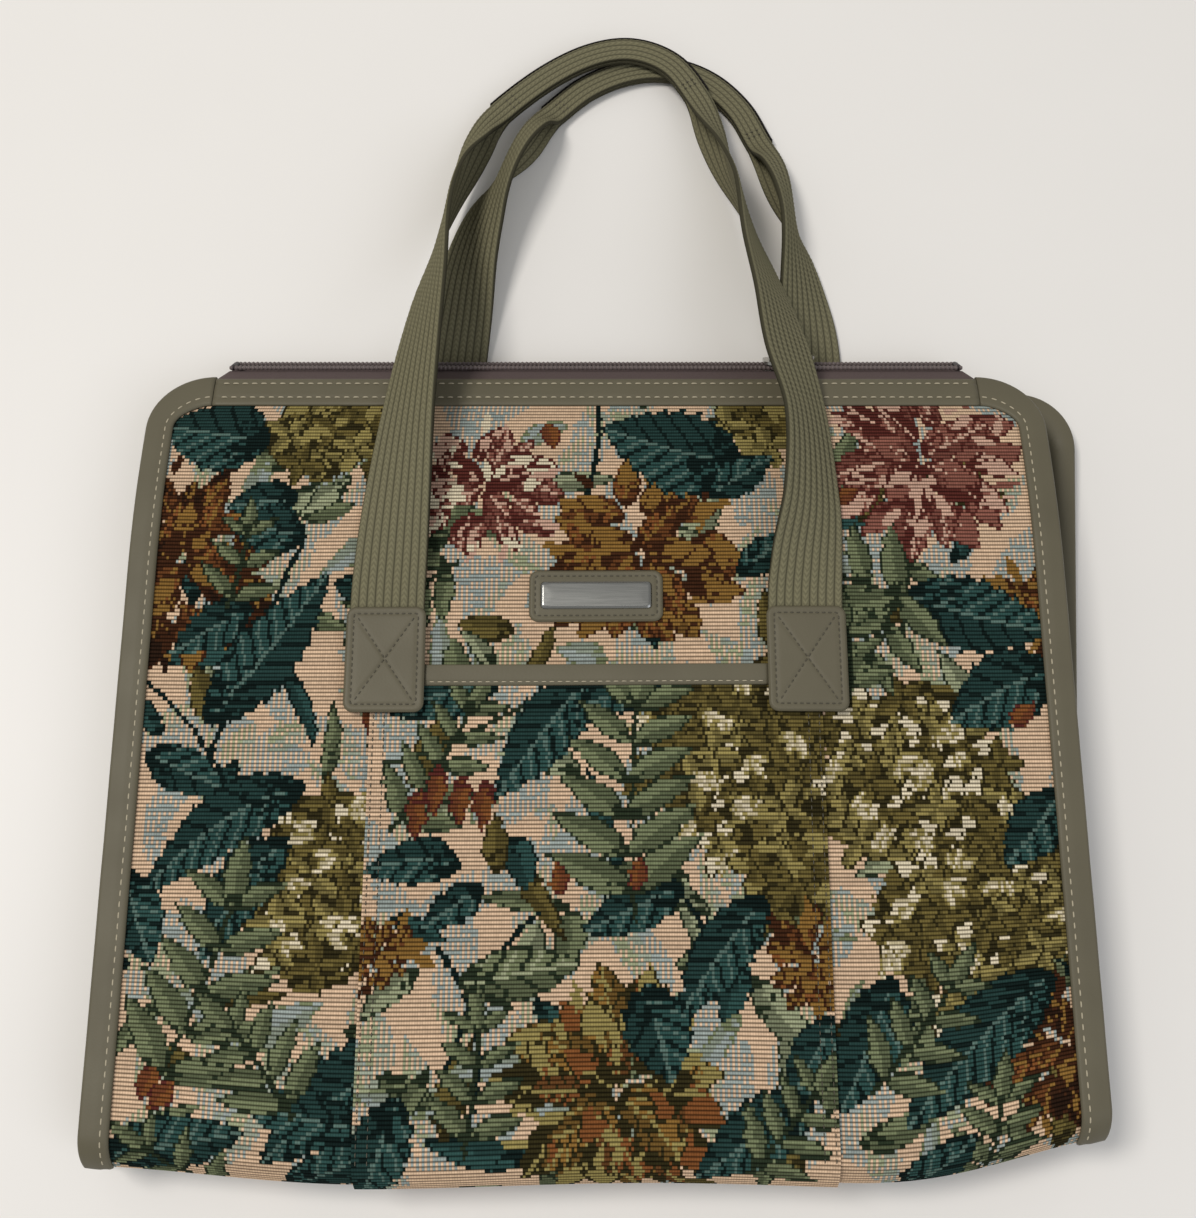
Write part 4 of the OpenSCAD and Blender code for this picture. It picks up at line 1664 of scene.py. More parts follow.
@dataclass
class Bindings(Assembly):
    """Rolled leatherette edges, their mouth bands and the stitches along them."""

    stitches: StitchRow = StitchRow(pitch=4.4, share=0.68, radius=0.34)
    band_stitches: StitchRow = StitchRow(pitch=4.3, share=0.66, radius=0.36)
    # The seam's distance from the binding's inner edge, in mm
    seam: float = 3.2
    # Shares of the band's height at which its two seams run
    rows: tuple[float, float] = (0.28, 0.8)

    def build(self) -> None:
        """Makes four bindings and two bands."""
        for side in Side:
            for layer in (Layer.FRONT, Layer.REAR):
                self.binding(side, layer)
        for layer in (Layer.FRONT, Layer.REAR):
            self.band(layer)

    def section(self) -> Array:
        """The binding's section: out past the edge, and up from the panel's face.

        Returns:
            A closed ring of places.
        """
        high = S.gap + S.hide_t
        slot_low = -(S.cloth_t + S.gusset_t + 3 * S.gap)
        low = slot_low - S.hide_t
        mid, half = (high + low) / 2, (high - low) / 2
        turn = np.radians(np.linspace(90, -90, 15))
        a = np.linspace(-S.binding_w, -0.8, 9)
        puff = 0.35 * np.sin(np.pi * (a + S.binding_w) / (S.binding_w - 0.4))
        puff = puff - 0.45 * press(a + S.binding_w, 0.7) - 0.3 * press(a + S.binding_w - self.seam, 0.8)
        outer = np.vstack([
            np.stack([a, high + puff], axis=1),
            np.stack([high * np.cos(turn) * 1.15, mid + half * np.sin(turn)], axis=1),
            [[-S.binding_w, low]],
        ])
        inner = np.array([[-S.binding_w, slot_low], [S.gap, slot_low], [S.gap, S.gap], [-S.binding_w, S.gap]])
        return np.vstack([outer, inner])

    def path(self) -> Array:
        """The panel's right edge from the base's round edge up round the corner.

        Returns:
            Rows of x, y, outward x, outward y, and the angle round the nose, 90 on the flat.
        """
        turn = np.linspace(32, 90, 14)[:-1]
        nose = np.stack([
            np.full_like(turn, S.edge), S.nose_y - S.nose_d * np.cos(np.radians(turn)),
            np.ones_like(turn), np.zeros_like(turn), turn,
        ], axis=1)
        y = np.linspace(S.nose_y, S.top - S.corner_r, 70)[:-1]
        flat = np.full_like(y, 90)
        straight = np.stack([np.full_like(y, S.edge), y, np.ones_like(y), np.zeros_like(y), flat], axis=1)
        bend = np.radians(np.linspace(0, 90, 20))
        c, s = np.cos(bend), np.sin(bend)
        corner = [S.edge - S.corner_r * (1 - c), S.top - S.corner_r * (1 - s), c, s, np.full_like(c, 90)]
        return np.vstack([nose, straight, np.stack(corner, axis=1)])

    def on_panel(self, side: Side, layer: Layer, out: Array, up: Array) -> Array:
        """Carries a section along the edge: up from the flat, along the ellipse's normal at the nose.

        Args:
            side: left or right.
            layer: front or rear.
            out: distances out past the edge.
            up: heights off the panel's face.

        Returns:
            Path by section places in mm.
        """
        p = self.path()
        # Round the corner its inner side widens to meet the band
        widen = 1 + (S.band_h / S.binding_w - 1) * smoothstep(0, 1, p[:, 3:4])
        out = np.where(out < 0, out * widen, out)
        turn = np.radians(p[:, 4:5])
        half = (S.front_rise - S.rear_low) / 2
        normal = unit(np.stack([-np.cos(turn) / S.nose_d, np.sin(turn) / half], axis=-1))
        fall = half * (1 - np.sin(turn))
        ripple = 0.12 * np.sin(p[:, 1:2] / 9.0 + side.value) * np.sin(p[:, 1:2] / 31.0)
        x = p[:, :1] + out * p[:, 2:3]
        y = p[:, 1:2] + out * p[:, 3:4]
        lift = up + ripple
        if layer is Layer.FRONT:
            z = front_z(y) - fall + lift * normal[..., 1]
        else:
            z = rear_z(y) + fall - up * normal[..., 1]
            x = x + side.value * rear_slide(y)
        return Drape.settle(side.value * x, y + lift * normal[..., 0], z, layer)

    def binding(self, side: Side, layer: Layer) -> None:
        """Makes one binding and its row of stitches.

        Args:
            side: left or right.
            layer: front or rear.
        """
        name = f"{layer.value}_{side.name.lower()}_binding"
        ring = self.section()
        rings = self.on_panel(side, layer, ring[None, :, 0], ring[None, :, 1])
        dress(make_sweep(f"{name}_hide", rings, self.finishes.hide), name)
        across, up = np.array([[-S.binding_w + self.seam]]), np.array([[S.gap + S.hide_t - 0.05]])
        seam = resample(self.on_panel(side, layer, across, up)[2:, 0], 300)
        sew(f"{name}_stitches", [seam], (0, 0, layer.up), self.stitches, self.finishes.thread)

    def band(self, layer: Layer) -> None:
        """Makes the band along the mouth with two rows of stitches.

        Args:
            layer: front or rear.
        """
        half = S.edge - S.corner_r - 0.4
        x, t = np.meshgrid(np.linspace(-half, half, 140), np.linspace(0, 1, 26))
        y = S.top - S.band_h * (1 - t)
        pucker = 0.16 * np.sin(x / 7.3) * np.sin(x / 19 + 1) * np.sin(np.pi * t)
        puff = 0.3 * np.sin(np.pi * t) ** 0.6 + pucker
        for row in self.rows:
            puff = puff - 0.28 * press((t - row) * S.band_h, 0.8)
        puff = puff - 0.5 * press(t * S.band_h, 0.6) - 0.5 * press((1 - t) * S.band_h, 0.6)
        up = S.gap + S.hide_t + puff
        face, shift = (front_z, np.zeros_like) if layer is Layer.FRONT else (rear_z, rear_slide)
        grids = [
            np.stack([x + shift(y), y, face(y) + layer.up * h], axis=-1) for h in (up, np.full_like(y, S.gap))
        ]
        name = f"{layer.value}_band"
        dress(make_sheet(f"{name}_hide", grids[0], grids[1], self.finishes.hide), name)
        lines = []
        for row in self.rows:
            xs = np.linspace(-half + 3, half - 3, 200)
            ys = np.full_like(xs, S.top - S.band_h * (1 - row))
            zs = face(ys) + layer.up * (S.gap + S.hide_t + 0.05)
            lines.append(np.stack([xs + shift(ys), ys, zs], axis=1))
        up = (0, 0.1 * layer.up, layer.up)
        sew(f"{name}_stitches", lines, up, self.band_stitches, self.finishes.thread)


@dataclass
class Pad(Assembly):
    """A flat leatherette or metal piece with round corners, a rolled edge and stitched grooves."""

    name: str
    slot: str
    x: float
    y: float
    base: float
    width: float
    height: float
    thick: float
    radius: float = 4.0
    inset: float = 0.0
    cross: bool = False
    layer: Layer = Layer.FRONT
    puff: float = 0.15
    stitches: StitchRow = StitchRow(pitch=2.7, share=0.66, radius=0.24)
    # Depth and width of the groove along a seam, and the gap under the piece, in mm
    GROOVE = 0.3
    GROOVE_W = 0.8
    UNDER = 0.05
    # Places on each corner's arc, and steps round the whole outline
    ARC = 26
    STEPS = 120

    def outline(self, inset: float) -> Array:
        """The round-cornered outline, drawn in by an inset.

        Args:
            inset: how far in.

        Returns:
            A ring of x, y about the middle.
        """
        w, h, r = self.width / 2 - inset, self.height / 2 - inset, max(self.radius - inset, 0.6)
        corners = []
        for sx, sy, start in ((1, 1, 0), (-1, 1, 90), (-1, -1, 180), (1, -1, 270)):
            turn = np.radians(np.linspace(start, start + 90, self.ARC))
            x, y = sx * (w - r) + r * np.cos(turn), sy * (h - r) + r * np.sin(turn)
            corners.append(np.stack([x, y], axis=1))
        ring = np.vstack(corners)
        return resample(np.vstack([ring, ring[:1]]), self.STEPS + 1)[:-1]

    def top_at(self, p: Array) -> Array:
        """Height of the face over its base: full in the middle, rolled at its edge, pressed along seams.

        Args:
            p: places about the middle, the last axis being x, y.

        Returns:
            Heights in mm.
        """
        q = np.abs(p) - (np.array([self.width, self.height]) / 2 - self.radius)
        gap = self.radius - np.linalg.norm(np.maximum(q, 0), axis=-1) - np.minimum(q.max(axis=-1), 0)
        gap = np.maximum(gap, 0)
        up = self.thick + self.puff * smoothstep(0, 6, gap) - 0.55 * self.thick * press(gap, 0.55)
        if self.inset > 0:
            up = up - self.GROOVE * press(gap - self.inset, self.GROOVE_W)
        if self.cross:
            w, h = self.width / 2 - self.inset, self.height / 2 - self.inset
            for s in (-1, 1):
                off = np.abs(p[..., 0] * h - s * p[..., 1] * w) / math.hypot(w, h)
                up = up - self.GROOVE * press(off, self.GROOVE_W) * (gap > self.inset)
        return up

    def lay(self, p: Array, up: Array) -> Array:
        """Sets places of the piece on the bag.

        Args:
            p: places about the middle.
            up: heights over the base.

        Returns:
            Places in mm.
        """
        z = self.base + self.layer.up * up
        return Drape.settle(p[..., 0] + self.x, p[..., 1] + self.y, z, self.layer)

    def build(self, material: Material) -> None:
        """Makes the piece and its stitches.

        Args:
            material: its finish.
        """
        edge = self.outline(0.0)
        shares = np.concatenate([np.linspace(0.03, 0.8, 14), np.linspace(0.82, 1.0, 14)])
        face = edge[None] * shares[:, None, None]
        under = np.full((1, len(edge)), self.UNDER)
        rings = np.concatenate([
            self.lay(face, self.top_at(face)), self.lay(edge[None], under), self.lay(edge[None] * 0.5, under),
        ])
        dress(make_sweep(f"{self.name}_form", rings, material), self.name)
        if self.inset <= 0:
            return
        line = self.outline(self.inset)
        lines = [np.vstack([line, line[:1]])]
        if self.cross:
            w, h = self.width / 2 - self.inset - 1.5, self.height / 2 - self.inset - 1.5
            for s in (-1, 1):
                way = np.linspace(-1, 1, 60)[:, None]
                lines.append(way * np.array([[w, s * h]]))
        seams = [self.lay(p, self.top_at(p) + 0.1) for p in lines]
        up = (0, 0, self.layer.up)
        sew(f"{self.name}_stitches", seams, up, self.stitches, self.finishes.dark_thread)


@dataclass
class Pocket(Assembly):
    """The slip pocket's trim and side seams."""

    trim_stitches: StitchRow = StitchRow(pitch=3.4, share=0.66, radius=0.26)
    side_stitches: StitchRow = StitchRow(pitch=3.2, share=0.62, radius=0.22)
    # Share of the trim's height at which its seam runs, and the side seams' distances from the edge in mm
    trim_row: float = 0.16
    side_rows: tuple[float, float] = (1.6, 6.2)
    # The trim's thickness and its gap to each strap, and how far short of the base the seams stop, in mm
    TRIM_T = 1.2
    TRIM_GAP = 0.4
    SEAM_STOP = 14

    def build(self) -> None:
        """Makes the trim and the stitches down both sides."""
        width = S.handle_span - S.strap_w - 2 * self.TRIM_GAP
        top = S.top - S.pocket_drop
        base = S.pocket_top + S.gap
        x, t = np.meshgrid(np.linspace(-width / 2, width / 2, 90), np.linspace(0, 1, 18))
        y = top - S.trim_h * (1 - t)
        puff = 0.35 * np.sin(np.pi * t) ** 0.7 - 0.5 * press(t * S.trim_h, 0.6)
        puff = puff - 0.25 * press((t - self.trim_row) * S.trim_h, 0.7)
        grids = [Drape.settle(x, y, base + h, Layer.FRONT) for h in (self.TRIM_T + puff, 0.02)]
        trim = make_sheet("pocket_trim_hide", grids[0], grids[1], self.finishes.hide)
        dress(trim, "pocket_trim")
        xs = np.linspace(-width / 2 + 2, width / 2 - 2, 160)
        height = top - S.trim_h * (1 - self.trim_row)
        line = Drape.settle(xs, height, base + self.TRIM_T + 0.1, Layer.FRONT)
        sew("pocket_trim_stitches", [line], (0, 0, 1), self.trim_stitches, self.finishes.thread)
        profile = front_profile(top - S.patch_l * 0.45)
        seams = []
        way = np.linspace(0, profile.total - self.SEAM_STOP, 220)
        yz = profile.at(way, np.full_like(way, S.gap + S.cloth_t + 0.15))
        for s in (-1, 1):
            for inset in self.side_rows:
                across = s * (S.pocket_w / 2 - inset)
                seams.append(Drape.settle(across, yz[:, 0], yz[:, 1], Layer.FRONT))
        sew("front_pocket_stitches", seams, (0, -0.1, 1), self.side_stitches, self.finishes.dark_thread)


@dataclass
class Handle(Assembly):
    """One length of webbing: flat at its ends, rolled on edge, and folded lengthwise along the grip."""

    name: str
    layer: Layer
    # Shares of half the span, of the way to the arch and of the seat's height, then roll and fold in degrees
    route: Array
    # Rows of the route between which the grip is folded shut
    grip: tuple[int, int]
    steps: int = 24
    stitches: StitchRow = StitchRow(pitch=2.2, share=0.75, radius=0.24)

    @property
    def seat(self) -> float:
        """Height of the webbing's middle at its sewn ends."""
        if self.layer is Layer.FRONT:
            return S.pocket_top + S.gap + S.strap_t / 2
        return S.patch_t + S.gap + S.strap_t / 2

    def fold(self, s: Array, lift: Array, fold: Array) -> Array:
        """The webbing's section: each half turns towards the back by half the fold over a short crease.

        Args:
            s: places across the webbing.
            lift: distances off its middle, M or N by M.
            fold: N folds in degrees.

        Returns:
            N by M places, across and out, about the section's middle.
        """
        crease = math.pi * (S.strap_t + S.fold_gap) / 4
        f = np.radians(np.clip(fold, 0, 180))[:, None]
        safe = np.maximum(f, 0.02)
        r = 2 * crease / safe
        share = np.clip(s / crease, -1, 1)[None]
        turn = share * safe / 2
        rest = s[None] - share * crease
        x = r * np.sin(turn) + rest * np.cos(safe / 2)
        down = r * (1 - np.cos(turn)) + np.abs(rest) * np.sin(safe / 2)
        depth = r * (1 - np.cos(safe / 2)) + (S.strap_w / 2 - crease) * np.sin(safe / 2)
        # Pulled tight by its seam, the grip is a little narrower than half the webbing
        down = down * (1 - 0.25 * (f / math.pi) ** 2)
        return np.stack([x + lift * np.sin(turn), depth / 2 - down + lift * np.cos(turn)], axis=-1)

    def frames(self) -> tuple[Array, Array, Array, Array, Array]:
        """The path with its directions.

        Returns:
            Places, directions across, directions out, folds and lengths.
        """
        way = self.route
        top, arch = S.top - S.patch_drop, S.top + S.handle_reach
        place = np.stack([
            way[:, 0] * S.handle_span / 2 + (S.rear_slip if self.layer is Layer.REAR else 0),
            top + way[:, 1] * (arch - top),
            way[:, 2] * self.seat,
        ], axis=1)
        half = S.strap_t / 2
        s = np.array([-S.strap_w / 2, 0.0, S.strap_w / 2])
        need = []
        for lift in (-half, half):
            p = self.fold(s, np.full(3, lift), way[:, 4])
            roll = np.radians(way[:, 3])[:, None]
            need.append(np.abs(p[..., 0] * np.sin(roll) + p[..., 1] * np.cos(roll)).max(axis=1))
        floor = np.max(need, axis=0) + 0.35 + (S.strip_t + 0.2) * way[:, 4] / 180
        place[:, 2] = np.maximum(place[:, 2], floor)
        path = catmull(np.hstack([place, way[:, 3:]]), self.steps)
        place = path[:, :3]
        ahead = np.empty_like(place)
        ahead[1:-1] = place[2:] - place[:-2]
        ahead[0], ahead[-1] = place[1] - place[0], place[-1] - place[-2]
        ahead = unit(ahead)
        side = unit(np.cross(ahead, [0, 0, 1]))
        up = np.cross(side, ahead)
        roll = np.radians(path[:, 3])[:, None]
        wide = side * np.cos(roll) + up * np.sin(roll)
        out = up * np.cos(roll) - side * np.sin(roll)
        return place, wide, out, path[:, 4], along(place)

    def rings(self, section: Array, frames: Sequence[Array]) -> Array:
        """Sets sections across the path and lets the sewn ends settle with the front.

        Args:
            section: N by M places, across and out.
            frames: N places, directions across and directions out.

        Returns:
            N by M places in mm.
        """
        place, wide, out = (f[:, None] for f in frames)
        points = place + wide * section[..., :1] + out * section[..., 1:]
        if self.layer is Layer.FRONT:
            sewn = 1 - smoothstep(70, 120, points[..., 1])
            points[..., 2] += Drape.swell(points[..., 0], points[..., 1]) * sewn
        return points

    def build(self) -> None:
        """Makes the webbing, its dark strip and the stitches of its grip."""
        *frames, fold, length = self.frames()
        half = S.strap_t / 2
        s = np.linspace(-S.strap_w / 2, S.strap_w / 2, 4 * STRAP_RIBS + 1)
        ridge = np.abs(np.sin(np.pi * (s + S.strap_w / 2) * STRAP_RIBS / S.strap_w)) ** 0.6
        top = half - 0.65 * (1 - ridge)
        slant = np.abs(((s + S.strap_w / 2) * STRAP_RIBS / S.strap_w) % 1 - 0.5) * 3.4
        picks = 0.17 * ridge * np.sin(2 * np.pi * (length[:, None] + slant) / STRAP_PICK)
        back = s[::-2]
        across = np.concatenate([s, back])
        lift = np.concatenate([top + picks, np.full((len(length), len(back)), -half)], axis=1)
        rings = self.rings(self.fold(across, lift, fold), frames)
        uv = np.stack(np.broadcast_arrays(across[None] + S.strap_w / 2, length[:, None]), axis=-1)
        strap = make_sweep(f"{self.name}_webbing", rings, self.finishes.webbing, uv)
        dress(strap, self.name)
        self.strip(frames)
        self.stitch(frames, fold)

    def strip(self, frames: Sequence[Array]) -> None:
        """Makes the dark strip under the grip, its outer edge turned up so that it shows as a thin line.

        Args:
            frames: the path's places, directions across and directions out.
        """
        first, last = self.grip[0] * self.steps, self.grip[1] * self.steps
        part = [f[first : last + 1] for f in frames]
        high = -((S.strap_t + S.fold_gap) / 2 + S.strap_t / 2 + S.gap)
        low = high - S.strip_t
        half = S.strip_w / 2
        ring = np.array([
            [low, half + 0.8], [low, 6.5 - half], [high, 6.5 - half], [high, half + 0.1], [0.6, half + 0.1],
            [0.6, half + 0.8],
        ])
        rings = self.rings(np.broadcast_to(ring, (len(part[0]), *ring.shape)), part)
        name = self.name.replace("handle", "grip_strip")
        dress(make_sweep(f"{name}_cloth", rings, self.finishes.strip), name)

    def stitch(self, frames: Sequence[Array], fold: Array) -> None:
        """Sews the grip shut with two short rows across each of its ends.

        Args:
            frames: the path's places, directions across and directions out.
            fold: the path's folds.
        """
        first, last = self.grip[0] * self.steps, self.grip[1] * self.steps
        lines = []
        for at in (first + 5, first + 8, last - 8, last - 5):
            s = np.linspace(3.5, S.strap_w / 2 - 1.5, 20)
            across = self.fold(s, np.full(20, S.strap_t / 2), fold[at : at + 1])
            lines.append(self.rings(across, [f[at : at + 1] for f in frames])[0])
        sew(f"{self.name}_stitches", lines, (0, 0, 1), self.stitches, self.finishes.dark_thread)


@dataclass
class Zip(Assembly):
    """The open zip: two tapes with a row of nylon coil each, and a stop at both ends."""

    # How far each tape goes on past the stops, in mm
    tail: float = 14.0
    # Rings and places round each on a stop, and on a bead of the coil
    stop_grid: tuple[int, int] = (13, 12)
    bead_grid: tuple[int, int] = (7, 8)
    # The two beads of a loop: place off the row's middle, and half sizes, in mm
    BEADS = ((-0.62, (0.98, 1.28, 0.62)), (0.62, (0.9, 1.15, 0.6)))
    # Half width of a stop, and radius of the cord inside the coil, in mm
    STOP_W = 1.5
    CORD_R = 0.85

    def point(self, y: Array, z: Array) -> Array:
        """Turns places in the zip's own frame into y, z of the bag.

        Args:
            y: out of the bag.
            z: from the rear row to the front row.

        Returns:
            Places, the last axis being y, z.
        """
        c, s = math.cos(math.radians(S.zip_lean)), math.sin(math.radians(S.zip_lean))
        y, z = np.broadcast_arrays(np.asarray(y, float), np.asarray(z, float))
        return np.stack([S.top + S.zip_reach + y * c - z * s, S.zip_rise + y * s + z * c], axis=-1)

    def build(self) -> None:
        """Makes the tapes, coils and stops, and finishes the slider and its pull."""
        for layer in (Layer.FRONT, Layer.REAR):
            self.tape(layer)
            self.coil(layer)
        self.stops()
        for name in ("zip_slider", "zip_pull"):
            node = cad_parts[name]
            node.data.materials.clear()
            node.data.materials.append(self.finishes.metal)

    def stops(self) -> None:
        """Makes the end stops: a slim rounded bar across both rows at each end."""
        count, sides = self.stop_grid
        turn = np.linspace(0, 2 * np.pi, sides, endpoint=False)
        way = np.linspace(-1, 1, count)[:, None]
        slim = np.sqrt(1 - 0.96 * way**8)
        wide, high, reach = self.STOP_W, S.coil_t / 2 + 0.1, S.row_gap / 2 + S.coil_t / 2
        yz = self.point(high * slim * np.sin(turn), np.broadcast_to(reach * way, self.stop_grid))
        across = wide * slim * np.cos(turn)
        places = [
            np.concatenate([(across + end)[..., None], yz], axis=-1).reshape(-1, 3)
            for end in (wide - S.zip_l / 2, S.zip_l / 2 - wide)
        ]
        quads = bead_faces(count, sides, len(places))
        stops = make_object("zip_stops_form", np.concatenate(places), quads, self.finishes.stop)
        dress(stops, "zip_stops")

    def tape(self, layer: Layer) -> None:
        """Makes one tape from under its panel's edge to its coil.

        Args:
            layer: front or rear.
        """
        sign = layer.up
        y = np.array([S.top - S.tape_tuck, S.top - 3, S.top])
        inside = front_z(y) - S.cloth_t - S.gap if sign > 0 else rear_z(y) + S.cloth_t + S.gap
        join = -S.coil_t / 2 - S.gap
        end = self.point(join, sign * (S.row_gap / 2 + S.tape_t / 2))
        line = catmull(np.vstack([np.stack([y, inside], axis=1), end[None]]), 8)
        half = S.zip_l / 2
        way = np.concatenate([[-half - self.tail], np.linspace(-half, half, 60), [half + self.tail]])
        x, k = np.meshgrid(way, np.arange(len(line)))
        # Past the stops each tape slopes down into the seam
        k = k * np.where(np.abs(x) > half, 0.12, 1.0)
        tangent = unit(np.gradient(line, axis=0))
        normal = np.stack([tangent[:, 1], -tangent[:, 0]], axis=1) * sign * S.tape_t
        steps = np.arange(len(line))
        grids = [
            np.stack([x, np.interp(k, steps, p[:, 0]), np.interp(k, steps, p[:, 1])], axis=-1)
            for p in (line, line + normal)
        ]
        name = f"{layer.value}_zip_tape"
        dress(make_sheet(f"{name}_cloth", grids[0], grids[1], self.finishes.tape), name)

    def coil(self, layer: Layer) -> None:
        """Makes one row of coil: on each pitch a loop of two beads that bulges at the tooth.

        Args:
            layer: front or rear.
        """
        sign = layer.up
        count = int(S.zip_l / S.coil_pitch)
        middles = (np.arange(count) - (count - 1) / 2) * S.coil_pitch
        rings, sides = self.bead_grid
        turn = np.linspace(0, 2 * np.pi, sides, endpoint=False)
        lat = np.linspace(-np.pi / 2, np.pi / 2, rings)
        ball = np.stack([
            np.cos(lat)[:, None] * np.cos(turn), np.cos(lat)[:, None] * np.sin(turn),
            np.broadcast_to(np.sin(lat)[:, None], self.bead_grid),
        ], axis=-1)
        places = []
        for off, size in self.BEADS:
            bead = ball * np.array(size)
            x = middles[:, None, None] + bead[None, ..., 0] + 0.25 * bead[None, ..., 2]
            yz = self.point(bead[..., 1], sign * (S.row_gap / 2 + off) + bead[..., 2])
            yz = np.broadcast_to(yz, (count, rings, sides, 2))
            places.append(np.concatenate([x[..., None], yz], axis=-1).reshape(-1, 3))
        beads = bead_faces(rings, sides, len(self.BEADS) * count)
        ring = self.point(self.CORD_R * np.cos(turn), sign * S.row_gap / 2 + self.CORD_R * np.sin(turn))
        ends = np.array([-S.zip_l / 2, S.zip_l / 2])[:, None, None]
        cord = [np.broadcast_to(ends, (2, sides, 1)), np.broadcast_to(ring, (2, sides, 2))]
        quads = np.concatenate([beads, grid_faces(2, sides, wrap=True) + sum(len(p) for p in places)])
        places.append(np.concatenate(cord, axis=-1).reshape(-1, 3))
        name = f"{layer.value}_zip_coil"
        coil = make_object(f"{name}_beads", np.concatenate(places), quads, self.finishes.coil)
        dress(coil, name)


# How far under its patch each strap end reaches, as a share of the way to the arch
END = -0.9 * S.patch_l / (S.patch_drop + S.handle_reach)
FRONT_ROUTE = np.array([
    [-1, END, 1, 0, 0], [-1, 0, 1, 0, 0], [-0.99, 0.07, 1.035, 6, 0],
    [-0.97, 0.165, 1.07, 20, 0], [-0.94, 0.29, 1.06, 36, 0], [-0.9, 0.415, 0.98, 48, 0],
    [-0.86, 0.53, 0.82, 60, 0], [-0.81, 0.645, 0.62, 78, 0], [-0.74, 0.745, 0.44, 88, 30],
    [-0.64, 0.82, 0.33, 90, 110], [-0.51, 0.88, 0.245, 90, 180], [-0.26, 0.945, 0.245, 90, 180],
    [-0.02, 0.985, 0.25, 90, 180], [0.2, 0.995, 0.255, 90, 180], [0.4, 0.97, 0.255, 90, 180],
    [0.535, 0.915, 0.25, 90, 180], [0.635, 0.845, 0.29, 90, 100], [0.71, 0.775, 0.38, 88, 30],
    [0.78, 0.7, 0.53, 80, 0], [0.845, 0.595, 0.75, 64, 0], [0.91, 0.495, 0.96, 54, 0],
    [0.968, 0.4, 1.06, 44, 0], [1.045, 0.29, 1.09, 48, 0], [1.05, 0.165, 1.155, 36, 0],
    [1.015, 0.07, 1.07, 13, 0], [1, 0, 1, 0, 0], [1, END, 1, 0, 0]])
REAR_ROUTE = np.array([
    [-1, END, 1, 0, 0], [-1, 0, 1, 0, 0], [-0.98, 0.165, 0.65, 0, 0], [-0.95, 0.31, 0, 0, 0],
    [-0.91, 0.415, 0, 0, 0], [-0.87, 0.51, 0, 12, 0], [-0.82, 0.61, 0, 30, 0],
    [-0.74, 0.695, 0, 46, 0], [-0.62, 0.77, 0, 70, 30], [-0.49, 0.835, 0, 88, 100],
    [-0.36, 0.89, 0, 90, 180], [-0.17, 0.94, 0, 90, 180], [0.05, 0.97, 0, 90, 180],
    [0.27, 0.975, 0, 90, 180], [0.48, 0.95, 0, 90, 180], [0.645, 0.9, 0, 90, 180],
    [0.755, 0.835, 0, 90, 180], [0.845, 0.765, 0, 88, 100], [0.91, 0.69, 0, 76, 30],
    [0.955, 0.615, 0, 56, 0], [0.985, 0.54, 0, 36, 0], [1, 0.47, 0, 14, 0],
    [1, 0.4, 0, 0, 0], [1, 0.31, 0, 0, 0], [1, 0.165, 0.65, 0, 0], [1, 0, 1, 0, 0],
    [1, END, 1, 0, 0]])


# Stage


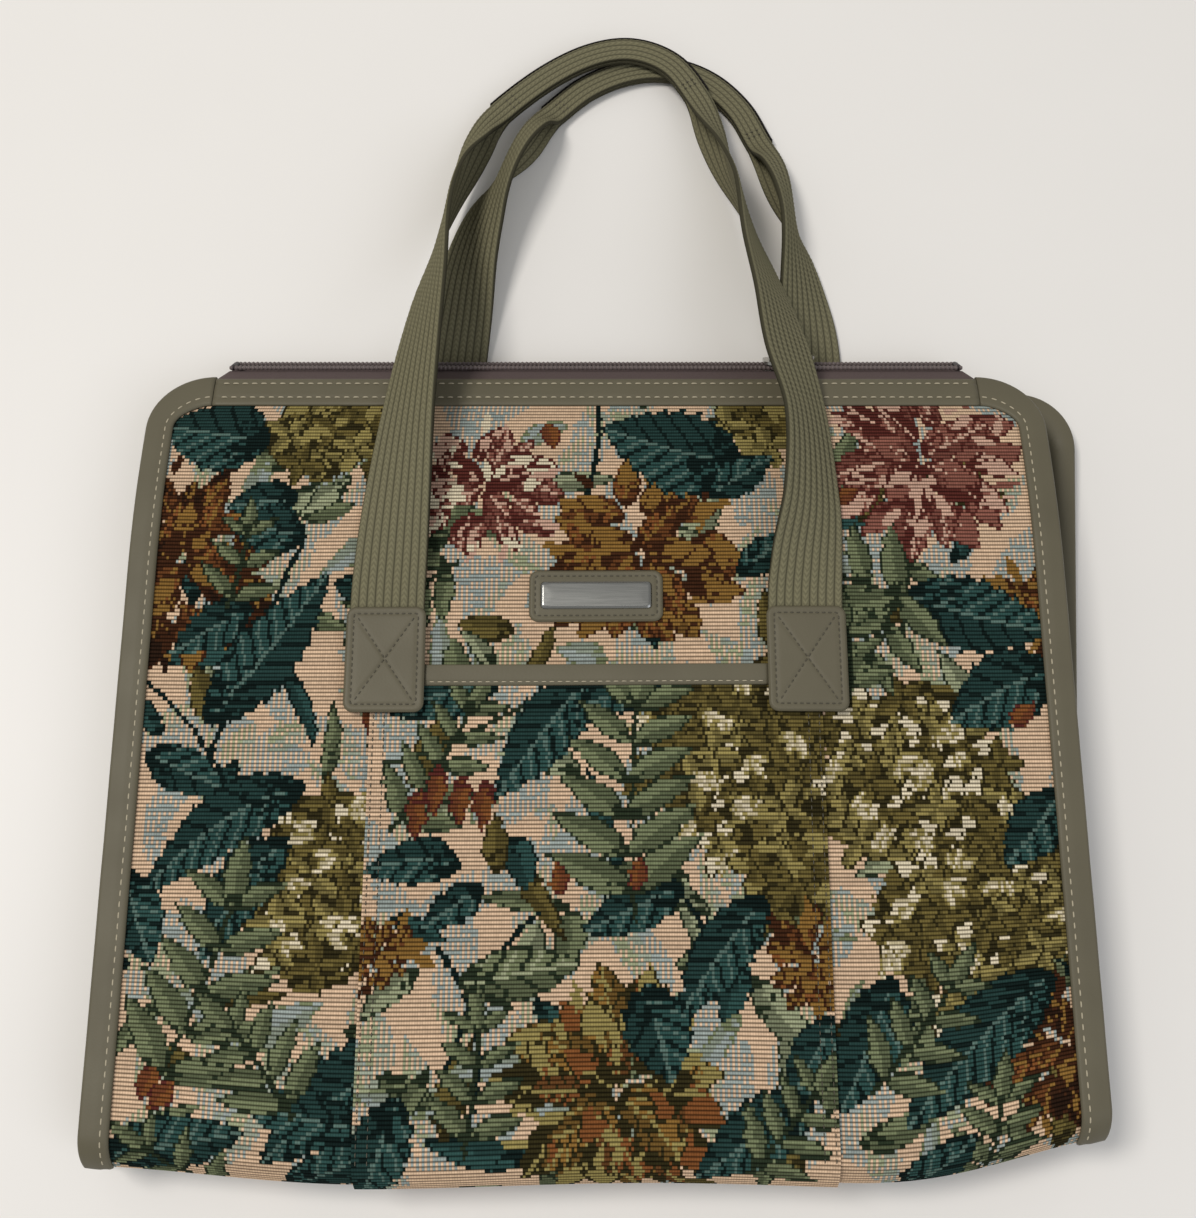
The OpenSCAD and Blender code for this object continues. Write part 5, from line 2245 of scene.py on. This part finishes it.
@dataclass(frozen=True)
class Studio:
    """A pale table, a soft key light from the upper left, and the camera of the photo."""

    tilt: float = 15.7
    eye: tuple[float, float, float] = (0.0, -115.5, 667.7)
    focal_px: float = 1500.0
    height_px: float = 1218.0
    sensor: float = 36.0
    # Half the table's side and its height, in metres
    half: float = 4.0
    low: float = -0.0004
    world_strength: float = 0.47

    def build(self) -> None:
        """Makes the table, lights and camera."""
        scene = bpy.context.scene
        scene.view_settings.view_transform = "Standard"
        mesh = bpy.data.meshes.new("table")
        corners = [(x * self.half, y * self.half, self.low) for x, y in ((-1, -1), (1, -1), (1, 1), (-1, 1))]
        mesh.from_pydata(corners, [], [(0, 1, 2, 3)])
        # Painted board: white, smooth, with hardly any variation
        paint = Mottled("white table", "#e7e5e1", "#e5e3df", 0.42, 60.0, specular=0.3, spread=0.04, relief=0)
        mesh.materials.append(paint.build())
        table = bpy.data.objects.new("table", mesh)
        scene.collection.objects.link(table)
        world = bpy.data.worlds.new("room")
        world.use_nodes = True
        background = world.node_tree.nodes["Background"]
        background.inputs[0].default_value = rgba("#f6f5f3")
        background.inputs[1].default_value = self.world_strength
        scene.world = world
        self.light("key", (-1.35, 0.45, 3.0), (0.0, 0.05, 0.0), 0.9, 58.0, "#fffaf4")
        self.light("fill", (1.6, -1.4, 2.4), (0.0, 0.0, 0.0), 2.0, 22.0, "#eef3ff")
        data = bpy.data.cameras.new("camera")
        data.sensor_width = self.sensor
        data.lens = self.focal_px / self.height_px * self.sensor
        data.shift_x = 2.0 / self.height_px
        data.clip_start, data.clip_end = 0.01, 50.0
        camera = bpy.data.objects.new("camera", data)
        camera.location = [v * MM for v in self.eye]
        camera.rotation_euler = (math.radians(self.tilt), 0, 0)
        scene.collection.objects.link(camera)
        scene.camera = camera

    def light(
        self, name: str, place: Sequence[float], aim: Sequence[float], size: float, power: float, colour: str
    ) -> None:
        """Adds a square area light.

        Args:
            name: its name.
            place: where it is, in metres.
            aim: what it looks at.
            size: its side.
            power: in watts.
            colour: its hex colour.
        """
        data = bpy.data.lights.new(name, "AREA")
        data.size, data.energy, data.color = size, power, linear(colour)
        obj = bpy.data.objects.new(name, data)
        obj.location = place
        away = np.array(place) - np.array(aim)
        flat = float(np.hypot(away[0], away[1]))
        obj.rotation_euler = (math.atan2(flat, away[2]), 0, math.atan2(away[1], away[0]) + math.pi / 2)
        bpy.context.scene.collection.objects.link(obj)


def main() -> None:
    """Builds the bag from its cloth outwards, then the stage."""
    logging.basicConfig(level=logging.INFO, format="%(name)s %(message)s")
    finishes = Finishes()
    TapestryCloth(finishes, "front_panel", front_profile(S.top), Layer.FRONT, panel_motifs(), COLUMNS, 7,
                  covered=(S.pocket_w / 2 - 6, S.top - S.pocket_drop - 6), pieces=2).build()
    TapestryCloth(finishes, "front_pocket", front_profile(S.top - S.pocket_drop), Layer.FRONT,
                  pocket_motifs(), 180, 8, lift=S.gap + S.cloth_t, width=S.pocket_w).build()
    TapestryCloth(finishes, "rear_panel", rear_profile(), Layer.REAR, panel_motifs(), 203, 9,
                  half_ribs=1, relief=0.0).build()
    for kind in (Shell, Bindings, Pocket):
        kind(finishes).build()
    patch_y = S.top - S.patch_drop - S.patch_l / 2
    seat = S.pocket_top + 2 * S.gap + S.strap_t
    for side in Side:
        x = side.value * S.handle_span / 2
        name = side.name.lower()
        Pad(finishes, f"front_{name}_patch", "leatherette", x, patch_y, seat, S.patch_w, S.patch_l, S.patch_t,
            inset=3.2, cross=True).build(finishes.hide)
        Pad(finishes, f"rear_{name}_patch", "leatherette", x + S.rear_slip, patch_y, S.patch_t, S.patch_w,
            S.patch_l, S.patch_t - 0.3, inset=3.2, cross=True, layer=Layer.REAR).build(finishes.hide)
    badge_y = S.top - S.badge_drop
    Pad(finishes, "badge_patch", "leatherette", 0, badge_y, S.front_rise + S.gap, S.badge_w, S.badge_h,
        S.hide_t, inset=2.6).build(finishes.hide)
    Pad(finishes, "badge_plate", "plate_metal", 0, badge_y, S.front_rise + S.hide_t + 0.35, S.plate_l,
        S.plate_h, 1.1, radius=1.6, puff=0.1).build(finishes.plate)
    Handle(finishes, "front_handle", Layer.FRONT, FRONT_ROUTE, (10, 15)).build()
    Handle(finishes, "rear_handle", Layer.REAR, REAR_ROUTE, (10, 16)).build()
    Zip(finishes).build()
    Studio().build()


if __name__ == "__main__":
    main()
